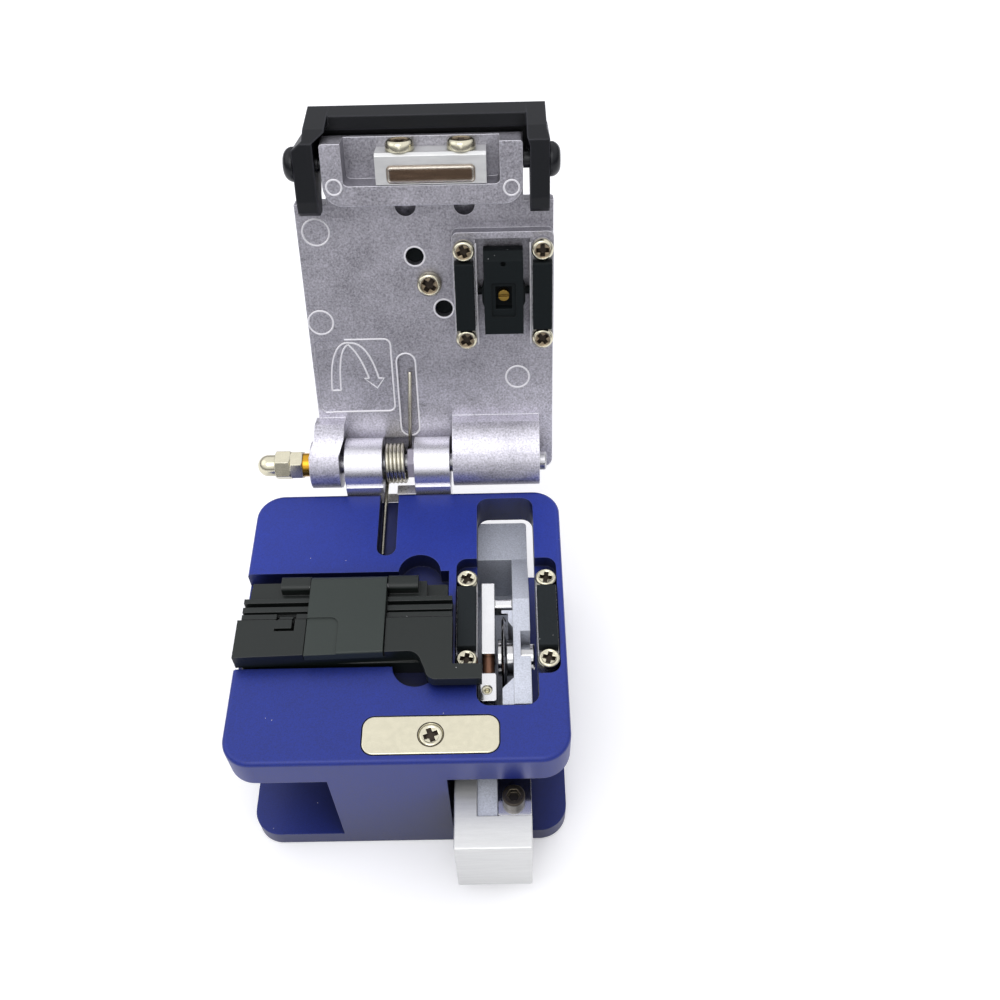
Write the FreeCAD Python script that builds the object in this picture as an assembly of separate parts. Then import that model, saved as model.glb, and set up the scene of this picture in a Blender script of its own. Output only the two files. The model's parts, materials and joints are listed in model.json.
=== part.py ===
import FreeCAD, Part
import math
import os

# Hand-held optical fibre cleaver, in millimetres.
# Frame: X to the right, Y to the rear, Z up; origin at the middle of the base plate's underside.
# Everything on the lid is modelled in the closed position and turned open as a last step.

V = FreeCAD.Vector

# ---------------------------------------------------------------- driving dimensions
FLAT_GAP = 0.05          # between faces that lie on each other in different bodies
RUN_FIT = 0.04           # radial clearance of a shaft that turns
POCKET_FIT = 0.15        # around a piece let into a pocket
MOVE_GAP = 0.3           # between curved or rubber faces that only come close

# body frame: two plates joined by a web
body_w, body_d, body_h = 63.0, 60.85, 37.56
top_t, base_t = 7.6, 4.75
corner_r, edge_r, foot_edge_r = 5.5, 0.9, 0.6
web_w, web_shift = 21.9, -2.15

# fibre line, and the blade slot in the top plate
fibre_y, fibre_rise = -0.75, 1.04
slot_w, slot_inset, slot_r = 11.6, 5.5, 2.4
slot_front, slot_rear = 10.93, 1.93

# lower clamps
clamp_pocket_w, clamp_pocket_depth, clamp_pocket_l, clamp_pocket_shift = 4.3, 3.0, 26.2, 0.85
clamp_left_in, clamp_right_in = 1.9, 2.1        # clamp centre from the slot's edge
clamp_screw_y = 9.05
seat_t, seat_w = 1.9, 4.1
pad_w, pad_l, pad_edge_r = 3.7, 13.6, 0.3
pan_head_d, pan_head_h, pan_shank_d, pan_shank_l = 4.3, 1.5, 1.6, 5.4

# channel of the fibre holder, with two finger scallops
channel_front, channel_rear, channel_depth = 10.35, 11.15, 4.0
channel_stop = 1.45                              # wall left between channel and clamp pocket
scallop_rear_x, scallop_rear_y, scallop_rear_r = 3.0, 10.95, 4.2
scallop_front_x, scallop_front_y, scallop_front_r = 3.0, -10.25, 4.4

# strike plate for the lid magnet
strike_x, strike_in = 6.2, 5.33
strike_l, strike_w, strike_t, strike_r, strike_proud = 24.8, 7.45, 1.6, 2.2, 0.15
strike_screw_d, strike_screw_l = 4.64, 6.0

# hinge
hinge_reach, hinge_rise = 5.93, 2.81
shaft_d, shaft_end = 4.0, 1.5
body_knuckle_r, lid_knuckle_r = 5.5, 5.0
knuckle_left_l, knuckle_right_l = 7.85, 7.4
lid_knuckle_left_l, lid_knuckle_right_l = 6.2, 18.15
knuckle_gap_left, knuckle_gap_right = 1.1, 0.65
bracket_t, bracket_z0, bracket_screw_x, bracket_screw_d = 2.4, 9.0, 7.0, 5.8
bracket_top_gap, neck_l = 0.4, 9.0
bush_d, bush_l = 5.0, 1.9
nut_af, nut_l = 5.5, 2.6
acorn_hex_l, acorn_dome_l, acorn_dome_d = 3.2, 4.0, 4.6
spring_wire, spring_od, spring_turns = 0.8, 8.7, 5
spring_side, spacer_l, spacer_af = 0.4, 1.55, 5.9
leg_slot_x, leg_slot_w, leg_slot_l, leg_slot_depth = -4.0, 3.9, 16.0, 3.2

# lid
open_angle = 110.2
lid_gap, lid_t, lid_edge_r = 7.0, 3.6, 1.0
lid_left_in, lid_right_in, lid_front_in, lid_tail = 12.86, 0.85, 0.43, 3.95
lid_corner_r, lid_front_r = 2.0, 0.8
notch_left_w, notch_right_w, notch_l = 6.24, 5.75, 12.0
nose_gap, nose_out, nose_l, nose_r, nose_draft = 0.95, 0.07, 12.5, 3.6, 1.2
recess_left, recess_right, recess_l, recess_depth = 4.4, 4.3, 7.6, 5.2
holder_l, holder_in, holder_w = 20.2, 1.8, 5.65
magnet_shift, magnet_l, magnet_w, magnet_t, magnet_gap = 1.9, 16.1, 3.3, 2.0, 0.3
magnet_r, magnet_bevel = 0.8, 0.35
magnet_screw_pitch, magnet_screw_d, magnet_shank_d, magnet_screw_l = 11.2, 4.6, 1.9, 8.6
arm_reach, arm_t, arm_jog = 8.95, 3.1, 1.1
groove_w, groove_l, groove_depth, groove_x = 3.9, 17.5, 1.2, 0.5
dimple_r = 2.0
panel_w, panel_l, panel_in, panel_up, panel_depth = 15.5, 16.3, 0.74, 10.25, 0.25

# clamps and anvil of the lid
lid_rail_w, lid_rail_t, lid_rail_r, lid_seat_t = 4.5, 2.6, 1.2, 1.0
lid_clamp_left_out, lid_clamp_right_out = 0.85, 0.3
lid_rail_front, lid_rail_rear, frame_bar_t = 12.05, 10.95, 1.3
lid_screw_d, lid_screw_h, lid_screw_l = 4.2, 1.4, 4.4
anvil_w, anvil_front, anvil_rear, anvil_rise, anvil_t = 8.4, 8.85, 7.65, 1.64, 4.2
anvil_waist, anvil_ear, anvil_pin_d, anvil_pin_l, anvil_pin_in = 0.4, 3.4, 1.6, 1.2, 1.45
window_w, window_front, window_rear, window_depth, window_rim = 3.2, 2.05, 2.55, 2.4, 0.8
press_x, press_y, press_w, press_l, press_t = 6.3, -1.25, 12.0, 17.0, 2.2
peg_r, peg_dx, peg_dy, peg_l = 1.8, 2.6, 5.43, 1.6

# lever
pivot_in, pivot_rise = 3.93, 3.4
lever_under, lever_rise, lever_arm_w, lever_gap = 0.55, 12.94, 3.9, 0.5
lever_tail, lever_front, lever_facet, lever_tip = 9.2, 4.2, 6.1, 8.3
lever_tail_r, lever_bevel, grip_t, grip_l, lever_jog = 0.8, 0.8, 4.4, 8.8, 2.0
pivot_head_d, pivot_head_h, pivot_shank_d, pivot_tip_d, pivot_tip_l = 6.2, 1.9, 3.0, 2.2, 3.2

# slider
slide_travel = 11.2
rail_w, rail_h, rail_shift, rail_front, rail_rear, rail_screws_in = 5.0, 3.6, 1.6, 6.63, 2.43, 4.0
truck_w, truck_l, truck_h, truck_lift, truck_fit = 12.0, 30.0, 5.6, 1.2, 0.15
carriage_front, carriage_rear, carriage_floor_t = 9.83, 1.83, 3.0
carriage_left, carriage_right = 0.8, 1.3          # beyond and inside the slot's edges
block_l, block_down, wall_down = 9.6, 8.96, 1.66
wall_t, wall_in, lug_t, pocket_w, pocket_depth = 3.3, 2.2, 2.2, 5.6, 1.9
blade_r, blade_t, blade_in, blade_shift, blade_bevel = 8.0, 0.9, 1.8, -4.85, 0.7
hub_r, hub_flange_r, hub_flange_t, hub_screw_d = 2.5, 3.6, 0.7, 2.4
bar_w, bar_in, bar_front, bar_rear, bar_up, bar_depth = 2.5, 2.2, 7.15, 8.85, 0.3, 9.0
cross_in, cross_w, cross_t = 3.25, 2.0, 3.0
stud_l, stud_front, stud_down, pin_d = 5.8, 16.65, 0.6, 2.3
set_screw_d, set_screw_l, set_screw_in = 2.0, 4.7, 2.3
knob_left, knob_right = 4.5, 1.8                  # beyond and inside the slot's edges
knob_lift, knob_down, knob_band, knob_arm_w = 1.45, 4.76, 6.2, 4.2
knob_step, stop_plate_w, stop_drop = 5.0, 6.2, 0.4
stop_screw_in, stop_screw_d = 2.9, 4.2

# fibre holder
hold_out, hold_front, hold_rear = 0.6, 9.55, 7.75
hold_taper_left, hold_taper_right = 0.5, 0.7      # front edge before and behind hold_front
hold_top, ridge_top, ledge_top = 3.8, 3.0, 1.6
hold_arm_reach, hold_arm_w, hold_arm_front, hold_arm_t = 1.1, 3.1, 15.2, 2.4
flap_x, flap_w, flap_t, flap_proud, flap_lip = -10.2, 14.7, 2.1, 0.55, 0.3
flap_pin_y, flap_pin_z, flap_pin_d = 6.15, 2.5, 1.5
boss_left_l, boss_right_l, boss_front, boss_rear = 5.7, 5.8, 1.2, 2.0
flexure_x, flexure_l, flexure_w = 7.2, 3.8, 0.6

# ---------------------------------------------------------------- derived places
side, front, rear = body_w / 2, -body_d / 2, body_d / 2
top_under = body_h - top_t
web_left, web_right = web_shift - web_w / 2, web_shift + web_w / 2
fibre_z = body_h + fibre_rise
slot_x1 = side - slot_inset
slot_x0 = slot_x1 - slot_w
slot_y0, slot_y1 = front + slot_front, rear - slot_rear
clamp_left_x, clamp_right_x = slot_x0 - clamp_left_in, slot_x1 + clamp_right_in
clamp_y = fibre_y + clamp_pocket_shift
clamp_floor = body_h - clamp_pocket_depth
channel_y0, channel_y1 = fibre_y - channel_front, fibre_y + channel_rear
channel_end = clamp_left_x - clamp_pocket_w / 2 - channel_stop
channel_floor = body_h - channel_depth
scallop_rear = (scallop_rear_x, fibre_y + scallop_rear_y)
scallop_front = (scallop_front_x, fibre_y + scallop_front_y)
strike_y = front + strike_in
strike_top = body_h + strike_proud
strike_seat = strike_top - strike_t

hinge_y, hinge_z = rear + hinge_reach, body_h + hinge_rise
shaft_r = shaft_d / 2
knuckle_left = (web_left + 0.1, web_left + 0.1 + knuckle_left_l)
knuckle_right = (web_right + 0.1 - knuckle_right_l, web_right + 0.1)
lid_knuckle_left = (knuckle_left[0] - knuckle_gap_left - lid_knuckle_left_l,
                    knuckle_left[0] - knuckle_gap_left)
lid_knuckle_right = (knuckle_right[1] + knuckle_gap_right,
                     knuckle_right[1] + knuckle_gap_right + lid_knuckle_right_l)
bush_x0 = lid_knuckle_left[0] - FLAT_GAP - bush_l
nut_x0 = bush_x0 - nut_l
acorn_x0 = nut_x0 - acorn_hex_l
shaft_x0, shaft_x1 = acorn_x0 + 0.3, lid_knuckle_right[1] + shaft_end
spring_r = (spring_od - spring_wire) / 2
spring_x0 = knuckle_left[1] + spring_side

lid_face, lid_back = body_h + lid_gap, body_h + lid_gap + lid_t
lid_x0, lid_x1 = -side + lid_left_in, side - lid_right_in
lid_y0, lid_y1 = front + lid_front_in, hinge_y + lid_tail
notch_left_x, notch_right_x = lid_x0 + notch_left_w, lid_x1 - notch_right_w
notch_y = lid_y0 + notch_l
nose_face = body_h + nose_gap
nose_y0 = front - nose_out
nose_y1 = nose_y0 + nose_l
recess_x0, recess_x1 = notch_left_x + recess_left, notch_right_x - recess_right
recess_y1 = nose_y0 + recess_l
holder_y0 = nose_y0 + holder_in
holder_y1 = holder_y0 + holder_w
magnet_x = strike_x + magnet_shift
magnet_z = strike_top + magnet_gap
arm_knee_y = hinge_y - arm_reach
lid_clamp_left_x, lid_clamp_right_x = (clamp_left_x + lid_clamp_left_out,
                                       clamp_right_x + lid_clamp_right_out)
lid_rail_y0, lid_rail_y1 = fibre_y - lid_rail_front, fibre_y + lid_rail_rear
lid_rail_z = lid_face - lid_rail_t
pad_gap_z = fibre_z + MOVE_GAP
anvil_x = (lid_clamp_left_x + lid_clamp_right_x) / 2
anvil_z, anvil_pin_z = body_h + anvil_rise, lid_face - anvil_pin_in
press_screw = (press_x, fibre_y + press_y)

pivot_y, pivot_z = front + pivot_in, body_h + pivot_rise
lever_low, lever_top = body_h + lever_under, body_h + lever_rise

rail_x = (slot_x0 + slot_x1) / 2 - rail_shift
rail_y0, rail_y1 = front + rail_front, rear - rail_rear
truck_top = base_t + truck_lift + truck_h
carriage_y0, carriage_y1 = front + carriage_front, rear - carriage_rear
carriage_x0, carriage_x1 = slot_x0 - carriage_left, slot_x1 - carriage_right
carriage_top, wall_top = body_h - block_down, body_h - wall_down
block_y0 = carriage_y1 - block_l
wall_x, wall_y0 = carriage_x1 - wall_t, carriage_y0 + wall_in
blade_x, blade_y, blade_z = wall_x - blade_in, fibre_y + blade_shift, fibre_z - 0.1 - blade_r
bar_x = slot_x0 + bar_in
bar_y0, bar_y1, bar_top = fibre_y - bar_front, fibre_y + bar_rear, wall_top + bar_up
cross_front = fibre_y + cross_in
stud_y0, stud_top = fibre_y - stud_front, wall_top - stud_down
stud_y1 = stud_y0 + stud_l
knob_x0, knob_x1 = slot_x0 - knob_left, slot_x1 - knob_right
knob_front = front - slide_travel
knob_back = knob_front + knob_band
knob_z0, knob_z1 = base_t + knob_lift, top_under - knob_down
stop_plate_x0 = knob_x1 - stop_plate_w

hold_x0, hold_x1 = -side + hold_out, channel_end - 0.2
hold_y0, hold_y1 = fibre_y - hold_front, fibre_y + hold_rear
flap_x0, flap_x1 = flap_x - flap_w / 2, flap_x + flap_w / 2
flap_py, flap_pz = fibre_y + flap_pin_y, body_h + flap_pin_z
flap_top = body_h + hold_top + flap_proud


# ---------------------------------------------------------------- helpers
def box(x0, x1, y0, y1, z0, z1):
    return Part.makeBox(x1 - x0, y1 - y0, z1 - z0, V(x0, y0, z0))


def rod(p, axis, r, length):
    return Part.makeCylinder(r, length, V(*p), V(*axis))


def x_rod(x0, x1, y, z, r):
    return rod((x0, y, z), (1, 0, 0), r, x1 - x0)


def round_wire(x0, x1, y0, y1, z, r):
    """Closed outline in plan; r is one radius or four, from the low corner round."""
    r = [r] * 4 if not isinstance(r, (list, tuple)) else r
    r = [max(v, 0.01) for v in r]
    pts = [(x0, y0, 1, 0), (x1, y0, 0, 1), (x1, y1, -1, 0), (x0, y1, 0, -1)]
    edges, ends = [], []
    for (x, y, dx, dy), q in zip(pts, r):
        centre = V(x + q * (dx - dy), y + q * (dx + dy), z)
        out = V(-(dx - dy), -(dx + dy), 0)
        out.normalize()
        start = centre + V(-dx + 0, -dy + 0, 0) * q
        end = centre + V(dy, -dx, 0) * q
        ends.append((start, end))
        edges.append(Part.Arc(start, centre + out * q, end).toShape())
    for n in range(4):
        a, b = ends[n][1], ends[(n + 1) % 4][0]
        if a.distanceToPoint(b) > 1e-4:
            edges.append(Part.makeLine(a, b))
    return Part.Wire(Part.__sortEdges__(edges))


def plate(x0, x1, y0, y1, z0, z1, r):
    face = Part.Face(round_wire(x0, x1, y0, y1, z0, r))
    return face.extrude(V(0, 0, z1 - z0))


def side_profile(points, x0, x1):
    """Prism along X from an outline of (y, z) points."""
    wire = Part.makePolygon([V(x0, y, z) for y, z in points + points[:1]])
    return Part.Face(wire).extrude(V(x1 - x0, 0, 0))


def plan_profile(points, z0, z1):
    """Prism along Z from an outline of (x, y) points."""
    wire = Part.makePolygon([V(x, y, z0) for x, y in points + points[:1]])
    return Part.Face(wire).extrude(V(0, 0, z1 - z0))


def fillet(shape, r, pick):
    """Round every edge that pick(edge) chooses; a shape that refuses keeps its edge."""
    edges = [e for e in shape.Edges if pick(e)]
    return shape.makeFillet(r, edges) if edges else shape


def vertical(e):
    return abs(e.tangentAt(e.FirstParameter).z) > 0.999 and e.Length > 1


def level(z, tol=1e-3):
    return lambda e: abs(e.BoundBox.ZMin - z) < tol and abs(e.BoundBox.ZMax - z) < tol


def hexagon(x0, x1, y, z, af, turn=0.0):
    r = af / math.sqrt(3)
    pts = [V(x0, y + r * math.cos(math.radians(60 * n + turn)),
             z + r * math.sin(math.radians(60 * n + turn))) for n in range(7)]
    return Part.Face(Part.makePolygon(pts)).extrude(V(x1 - x0, 0, 0))


def hex_prism(af, height):
    """Hexagonal prism up from the origin, for sockets."""
    r = af / math.sqrt(3)
    pts = [V(r * math.cos(math.radians(60 * k)), r * math.sin(math.radians(60 * k)), 0)
           for k in range(7)]
    return Part.Face(Part.makePolygon(pts)).extrude(V(0, 0, height))


def turned(shape, angle, y, z):
    out = shape.copy()
    out.rotate(V(0, y, z), V(1, 0, 0), angle)
    return out


def opened(shape):
    return turned(shape, -open_angle, hinge_y, hinge_z)


def one(shapes):
    first, rest = shapes[0], shapes[1:]
    return first.multiFuse(rest).removeSplitter() if rest else first


def phillips(p, axis, d, depth):
    """Cross recess to cut from a screw head; axis points out of the head."""
    arm, wide = d * 0.27, d * 0.1
    cross = one([
        Part.makeBox(2 * arm, 2 * wide, 2 * depth, V(-arm, -wide, -depth)),
        Part.makeBox(2 * wide, 2 * arm, 2 * depth, V(-wide, -arm, -depth)),
    ])
    cross.rotate(V(0, 0, 0), V(0, 0, 1), 25)
    cross.Placement = FreeCAD.Placement(
        V(*p), FreeCAD.Rotation(V(0, 0, 1), V(*axis))).multiply(cross.Placement)
    return cross


def pan_screw(p, axis, head_d, head_h, shank_d, shank_l):
    """Cross-recess pan head sitting at p, its shank going against axis."""
    r = head_d / 2
    dome = r * 0.35
    wire = Part.Wire([
        Part.makeLine(V(0, 0, -shank_l), V(shank_d / 2, 0, -shank_l)),
        Part.makeLine(V(shank_d / 2, 0, -shank_l), V(shank_d / 2, 0, 0)),
        Part.makeLine(V(shank_d / 2, 0, 0), V(r, 0, 0)),
        Part.makeLine(V(r, 0, 0), V(r, 0, head_h - dome)),
        Part.Arc(V(r, 0, head_h - dome), V(r * 0.78, 0, head_h - dome * 0.3),
                 V(r * 0.35, 0, head_h)).toShape(),
        Part.makeLine(V(r * 0.35, 0, head_h), V(0, 0, head_h)),
        Part.makeLine(V(0, 0, head_h), V(0, 0, -shank_l)),
    ])
    screw = Part.Face(wire).revolve(V(0, 0, 0), V(0, 0, 1), 360)
    screw.Placement = FreeCAD.Placement(V(*p), FreeCAD.Rotation(V(0, 0, 1), V(*axis)))
    tip = V(*p) + V(*axis) * head_h
    return screw.cut(phillips(tip, axis, head_d, head_h * 0.5))


def socket_screw(p, axis, head_d, head_h, key_af, shank_d, shank_l):
    """Cylinder-head socket screw sitting at p, its shank going against axis."""
    n = V(*axis)
    head = rod(p, axis, head_d / 2, head_h)
    head = fillet(head, min(0.3, head_h * 0.2),
                  lambda e: e.Curve.TypeId == "Part::GeomCircle"
                  and e.Curve.Center.distanceToPoint(V(*p) + n * head_h) < 1e-3)
    shank = Part.makeCylinder(shank_d / 2, shank_l, V(*p), n * -1)
    key = hex_prism(key_af, head_h)
    key.Placement = FreeCAD.Placement(V(*p) + n * (head_h * 0.45),
                                      FreeCAD.Rotation(V(0, 0, 1), n))
    return one([head, shank]).cut(key)


def holes(shape, places, axis, r, depth):
    """Drill r-holes from each place against axis."""
    n = V(*axis) * -1
    return shape.cut(Part.Compound([Part.makeCylinder(r, depth, V(*p), n) for p in places]))


def save(name, shape):
    if isinstance(shape, list):
        shape = Part.Compound(shape)
    shape.exportStep("parts/" + name + ".step")


# ---------------------------------------------------------------- body
def clamp_pocket(x, side):
    """Round-ended pocket of a lower clamp, open to the blade slot on one side."""
    half = clamp_pocket_w / 2
    x0, x1 = (x - half, slot_x0 + 1) if side < 0 else (slot_x1 - 1, x + half)
    r = [half, 0.1, 0.1, half] if side < 0 else [0.1, half, half, 0.1]
    y0, y1 = clamp_y - clamp_pocket_l / 2, clamp_y + clamp_pocket_l / 2
    return plate(x0, x1, y0, y1, clamp_floor, body_h + 1, r)


def clamp_screw_places(x, z):
    return [(x, fibre_y + s * clamp_screw_y, z) for s in (-1, 1)]


def body_frame():
    w, d = side, rear
    top = plate(-w, w, -d, d, top_under, body_h, corner_r)
    top = fillet(top, edge_r, level(body_h))
    base = plate(-w, w, -d, d, 0, base_t, corner_r)
    base = fillet(base, foot_edge_r, level(0))
    web = box(web_left, web_right, -d, d, base_t - 0.5, top_under + 0.5)
    frame = one([top, base, web])
    cuts = [
        plate(slot_x0, slot_x1, slot_y0, slot_y1, top_under - 1, body_h + 1, slot_r),
        clamp_pocket(clamp_left_x, -1),
        clamp_pocket(clamp_right_x, 1),
        box(-w - 1, channel_end, channel_y0, channel_y1, channel_floor, body_h + 1),
        rod((*scallop_rear, channel_floor), (0, 0, 1), scallop_rear_r, channel_depth + 1),
        rod((*scallop_front, channel_floor), (0, 0, 1), scallop_front_r, channel_depth + 1),
        plate(strike_x - strike_l / 2 - POCKET_FIT, strike_x + strike_l / 2 + POCKET_FIT,
              strike_y - strike_w / 2 - POCKET_FIT, strike_y + strike_w / 2 + POCKET_FIT,
              strike_seat, body_h + 1, strike_r + POCKET_FIT),
        plate(leg_slot_x - leg_slot_w / 2, leg_slot_x + leg_slot_w / 2,
              d - leg_slot_l, d + 5, body_h - leg_slot_depth, body_h + 1, leg_slot_w / 2),
        # turning room of the lid's knuckles
        x_rod(lid_knuckle_left[0] - 0.5, lid_knuckle_left[1] + 0.5, hinge_y, hinge_z,
              lid_knuckle_r + MOVE_GAP),
        x_rod(lid_knuckle_right[0] - 0.5, lid_knuckle_right[1] + 0.5, hinge_y, hinge_z,
              lid_knuckle_r + MOVE_GAP),
    ]
    frame = frame.cut(Part.Compound(cuts))
    for x in (clamp_left_x, clamp_right_x):
        frame = holes(frame, clamp_screw_places(x, clamp_floor + 0.1), (0, 0, 1), 0.8, 4.1)
    frame = holes(frame, [(strike_x, strike_y, strike_seat + 0.1)], (0, 0, 1), 1.0, 5.1)
    frame = holes(frame, rail_screw_places(base_t + 0.1), (0, 0, 1), 0.9, 3.1)
    frame = holes(frame, [(x, d + 0.1, z) for x, z in bracket_screws()], (0, 1, 0), 1.5, 6.1)
    return frame


def bracket_screws():
    return [(web_shift + sx * bracket_screw_x, z) for sx in (-1, 1)
            for z in (bracket_z0 + 5.0, top_under - 4.0)]


def hinge_block():
    """Bracket on the rear face of the web, with the two body knuckles."""
    d, back = rear, rear + bracket_t
    x0, x1 = knuckle_left[0], knuckle_right[1]
    top, neck_z = body_h - bracket_top_gap, body_h - neck_l
    foot = box(x0, x1, d, back, bracket_z0, top)
    foot = fillet(foot, 1.8, lambda e: abs(e.tangentAt(e.FirstParameter).y) > 0.999
                  and e.BoundBox.ZMax < bracket_z0 + 0.1)
    pieces = [foot]
    stop_z = hinge_z - body_knuckle_r
    for a, b in (knuckle_left, knuckle_right):
        pieces.append(x_rod(a, b, hinge_y, hinge_z, body_knuckle_r))
        # neck from the foot up to the knuckle, tangent at its underside
        pieces.append(side_profile([
            (d, neck_z), (back, neck_z), (hinge_y - 1.4, stop_z + 0.25),
            (hinge_y, hinge_z), (d, hinge_z - 0.9)], a, b))
    # low bridge under the spring, with the seat of its stop pin
    pieces.append(box(knuckle_left[1] - 0.5, knuckle_right[0] + 0.5, d, back, neck_z, top))
    block = one(pieces)
    block = block.cut(Part.Compound([
        x_rod(x0 - 1, x1 + 1, hinge_y, hinge_z, shaft_r + 0.01),
        box(leg_slot_x - leg_slot_w / 2, leg_slot_x + leg_slot_w / 2 - 0.4,
            d - 1, back + 1, body_h - leg_slot_depth, body_h),
    ]))
    block = holes(block, [(x, back, z) for x, z in bracket_screws()], (0, 1, 0), 1.6, 20)
    r = bracket_screw_d / 2 + 0.1
    sink = [Part.makeCone(r, r / 2, r / 2, V(x, back, z), V(0, -1, 0))
            for x, z in bracket_screws()]
    return block.cut(Part.Compound(sink))


def hinge_screws():
    """Flat-head screws from the rear, flush with the bracket."""
    back = rear + bracket_t
    r = bracket_screw_d / 2
    out = []
    for x, z in bracket_screws():
        head = Part.makeCone(r, r / 2, r / 2, V(x, back - 0.05, z), V(0, -1, 0))
        shank = Part.makeCylinder(r / 2, bracket_t + 5.2, V(x, back - 0.3, z), V(0, -1, 0))
        screw = one([head, shank]).cut(phillips((x, back - 0.05, z), (0, 1, 0), 2 * r - 0.8, 0.8))
        out.append(screw)
    return out


def hinge_shaft():
    shaft = x_rod(shaft_x0, shaft_x1, hinge_y, hinge_z, shaft_r)
    return shaft.makeChamfer(0.3, [e for e in shaft.Edges
                                   if abs(e.BoundBox.XMin - shaft_x1) < 1e-3
                                   and abs(e.BoundBox.XMax - shaft_x1) < 1e-3])


def ring(x0, x1, outer, inner):
    return x_rod(x0, x1, hinge_y, hinge_z, outer).cut(
        x_rod(x0 - 1, x1 + 1, hinge_y, hinge_z, inner))


def brass_bush():
    return ring(bush_x0, bush_x0 + bush_l, bush_d / 2, shaft_r)


def chamfered_hex(x0, x1, af, turn):
    """Hexagon whose corners are turned off at both ends."""
    r = af / math.sqrt(3)
    cone = 0.35
    body = hexagon(x0, x1, hinge_y, hinge_z, af, turn)
    wire = Part.makePolygon([V(x0, 0, 0), V(x0, r - cone, 0), V(x0 + cone * 0.6, r, 0),
                             V(x1 - cone * 0.6, r, 0), V(x1, r - cone, 0), V(x1, 0, 0),
                             V(x0, 0, 0)])
    turned_form = Part.Face(wire).revolve(V(0, 0, 0), V(1, 0, 0), 360)
    turned_form.translate(V(0, hinge_y, hinge_z))
    return body.common(turned_form)


def lock_nut():
    nut = chamfered_hex(nut_x0, nut_x0 + nut_l, nut_af, 10)
    return nut.cut(x_rod(nut_x0 - 1, nut_x0 + nut_l + 1, hinge_y, hinge_z, shaft_r))


def acorn_nut():
    nut = chamfered_hex(acorn_x0, acorn_x0 + acorn_hex_l, nut_af, 0)
    r = acorn_dome_d / 2
    neck = acorn_dome_l - r
    dome = one([
        x_rod(acorn_x0 - neck, acorn_x0 + 0.5, hinge_y, hinge_z, r),
        Part.makeSphere(r, V(acorn_x0 - neck, hinge_y, hinge_z), V(1, 0, 0), -90, 90, 360),
    ])
    bore = x_rod(shaft_x0, acorn_x0 + acorn_hex_l + 1, hinge_y, hinge_z, shaft_r)
    return one([nut, dome]).cut(bore)


def spring_spacer():
    """Nylon spacer with flats, between the spring and the right body knuckle."""
    x1 = knuckle_right[0]
    body = hexagon(x1 - spacer_l, x1, hinge_y, hinge_z, spacer_af, 15)
    return body.cut(x_rod(x1 - spacer_l - 1, x1 + 1, hinge_y, hinge_z, shaft_r))


def torsion_spring():
    """Close-wound coil round the shaft with one leg in the body slot and one on the lid."""
    pitch = spring_wire + 0.02
    # the last part turn lets the wire leave the coil along the open lid
    turns = spring_turns + (180 - open_angle) / 360
    helix = Part.makeHelix(pitch, pitch * turns, spring_r)
    # helix axis along X; it starts under the shaft and runs to the right
    helix.Placement = FreeCAD.Placement(
        V(spring_x0, hinge_y, hinge_z),
        FreeCAD.Rotation(V(0, 0, 1), V(1, 0, 0)))
    first, last = helix.Edges[0], helix.Edges[-1]
    p0 = first.valueAt(first.FirstParameter)
    p1 = last.valueAt(last.LastParameter)
    t0 = first.tangentAt(first.FirstParameter)
    profile = Part.Wire(Part.makeCircle(spring_wire / 2, p0, t0))
    coil = Part.Wire(helix.Edges).makePipeShell([profile], True, True)
    parts = [coil]
    # lower leg: forward along the body slot
    leg_z = body_h - leg_slot_depth + spring_wire / 2 + 0.2
    leg_x = leg_slot_x - leg_slot_w / 2 + spring_wire / 2 + 0.5
    low = [p0, V(leg_x, rear + 0.6, leg_z + 0.2), V(leg_x, rear - leg_slot_l + 2.0, leg_z)]
    # upper leg: up along the open lid's inner face
    up_root = turned_point(groove_x, hinge_y - 2.0, lid_face - spring_wire / 2 - 0.15)
    up_tip = turned_point(groove_x, arm_knee_y - 12.0, lid_face - spring_wire / 2 + 0.3)
    high = [p1, up_root, up_tip]
    for line in (low, high):
        for a, b in zip(line, line[1:]):
            run = b - a
            parts.append(Part.makeCylinder(spring_wire / 2, run.Length, a, run))
            parts.append(Part.makeSphere(spring_wire / 2, b))
        parts.append(Part.makeSphere(spring_wire / 2, line[0]))
    return one(parts)


def turned_point(x, y, z):
    """A point of the closed lid, after the lid is opened."""
    a = math.radians(open_angle)
    dy, dz = y - hinge_y, z - hinge_z
    return V(x, hinge_y + dy * math.cos(a) + dz * math.sin(a),
             hinge_z - dy * math.sin(a) + dz * math.cos(a))


def strike_plate():
    x0, x1 = strike_x - strike_l / 2, strike_x + strike_l / 2
    y0, y1 = strike_y - strike_w / 2, strike_y + strike_w / 2
    top, r = strike_top, strike_screw_d / 2 + 0.12
    bar = plate(x0, x1, y0, y1, strike_seat, top, strike_r)
    bar = fillet(bar, 0.25, level(top))
    sink = Part.makeCone(r / 2, r, r / 2, V(strike_x, strike_y, top - r / 2))
    hole = rod((strike_x, strike_y, strike_seat - 1), (0, 0, 1), r / 2, strike_t + 2)
    return bar.cut(sink).cut(hole)


def strike_screw():
    top, r = strike_top - 0.08, strike_screw_d / 2
    head = Part.makeCone(r / 2, r, r / 2, V(strike_x, strike_y, top - r / 2))
    shank = rod((strike_x, strike_y, top - strike_screw_l), (0, 0, 1), 0.95, strike_screw_l - 0.5)
    return one([head, shank]).cut(phillips((strike_x, strike_y, top), (0, 0, 1), 2 * r - 0.2, 0.7))


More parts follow.
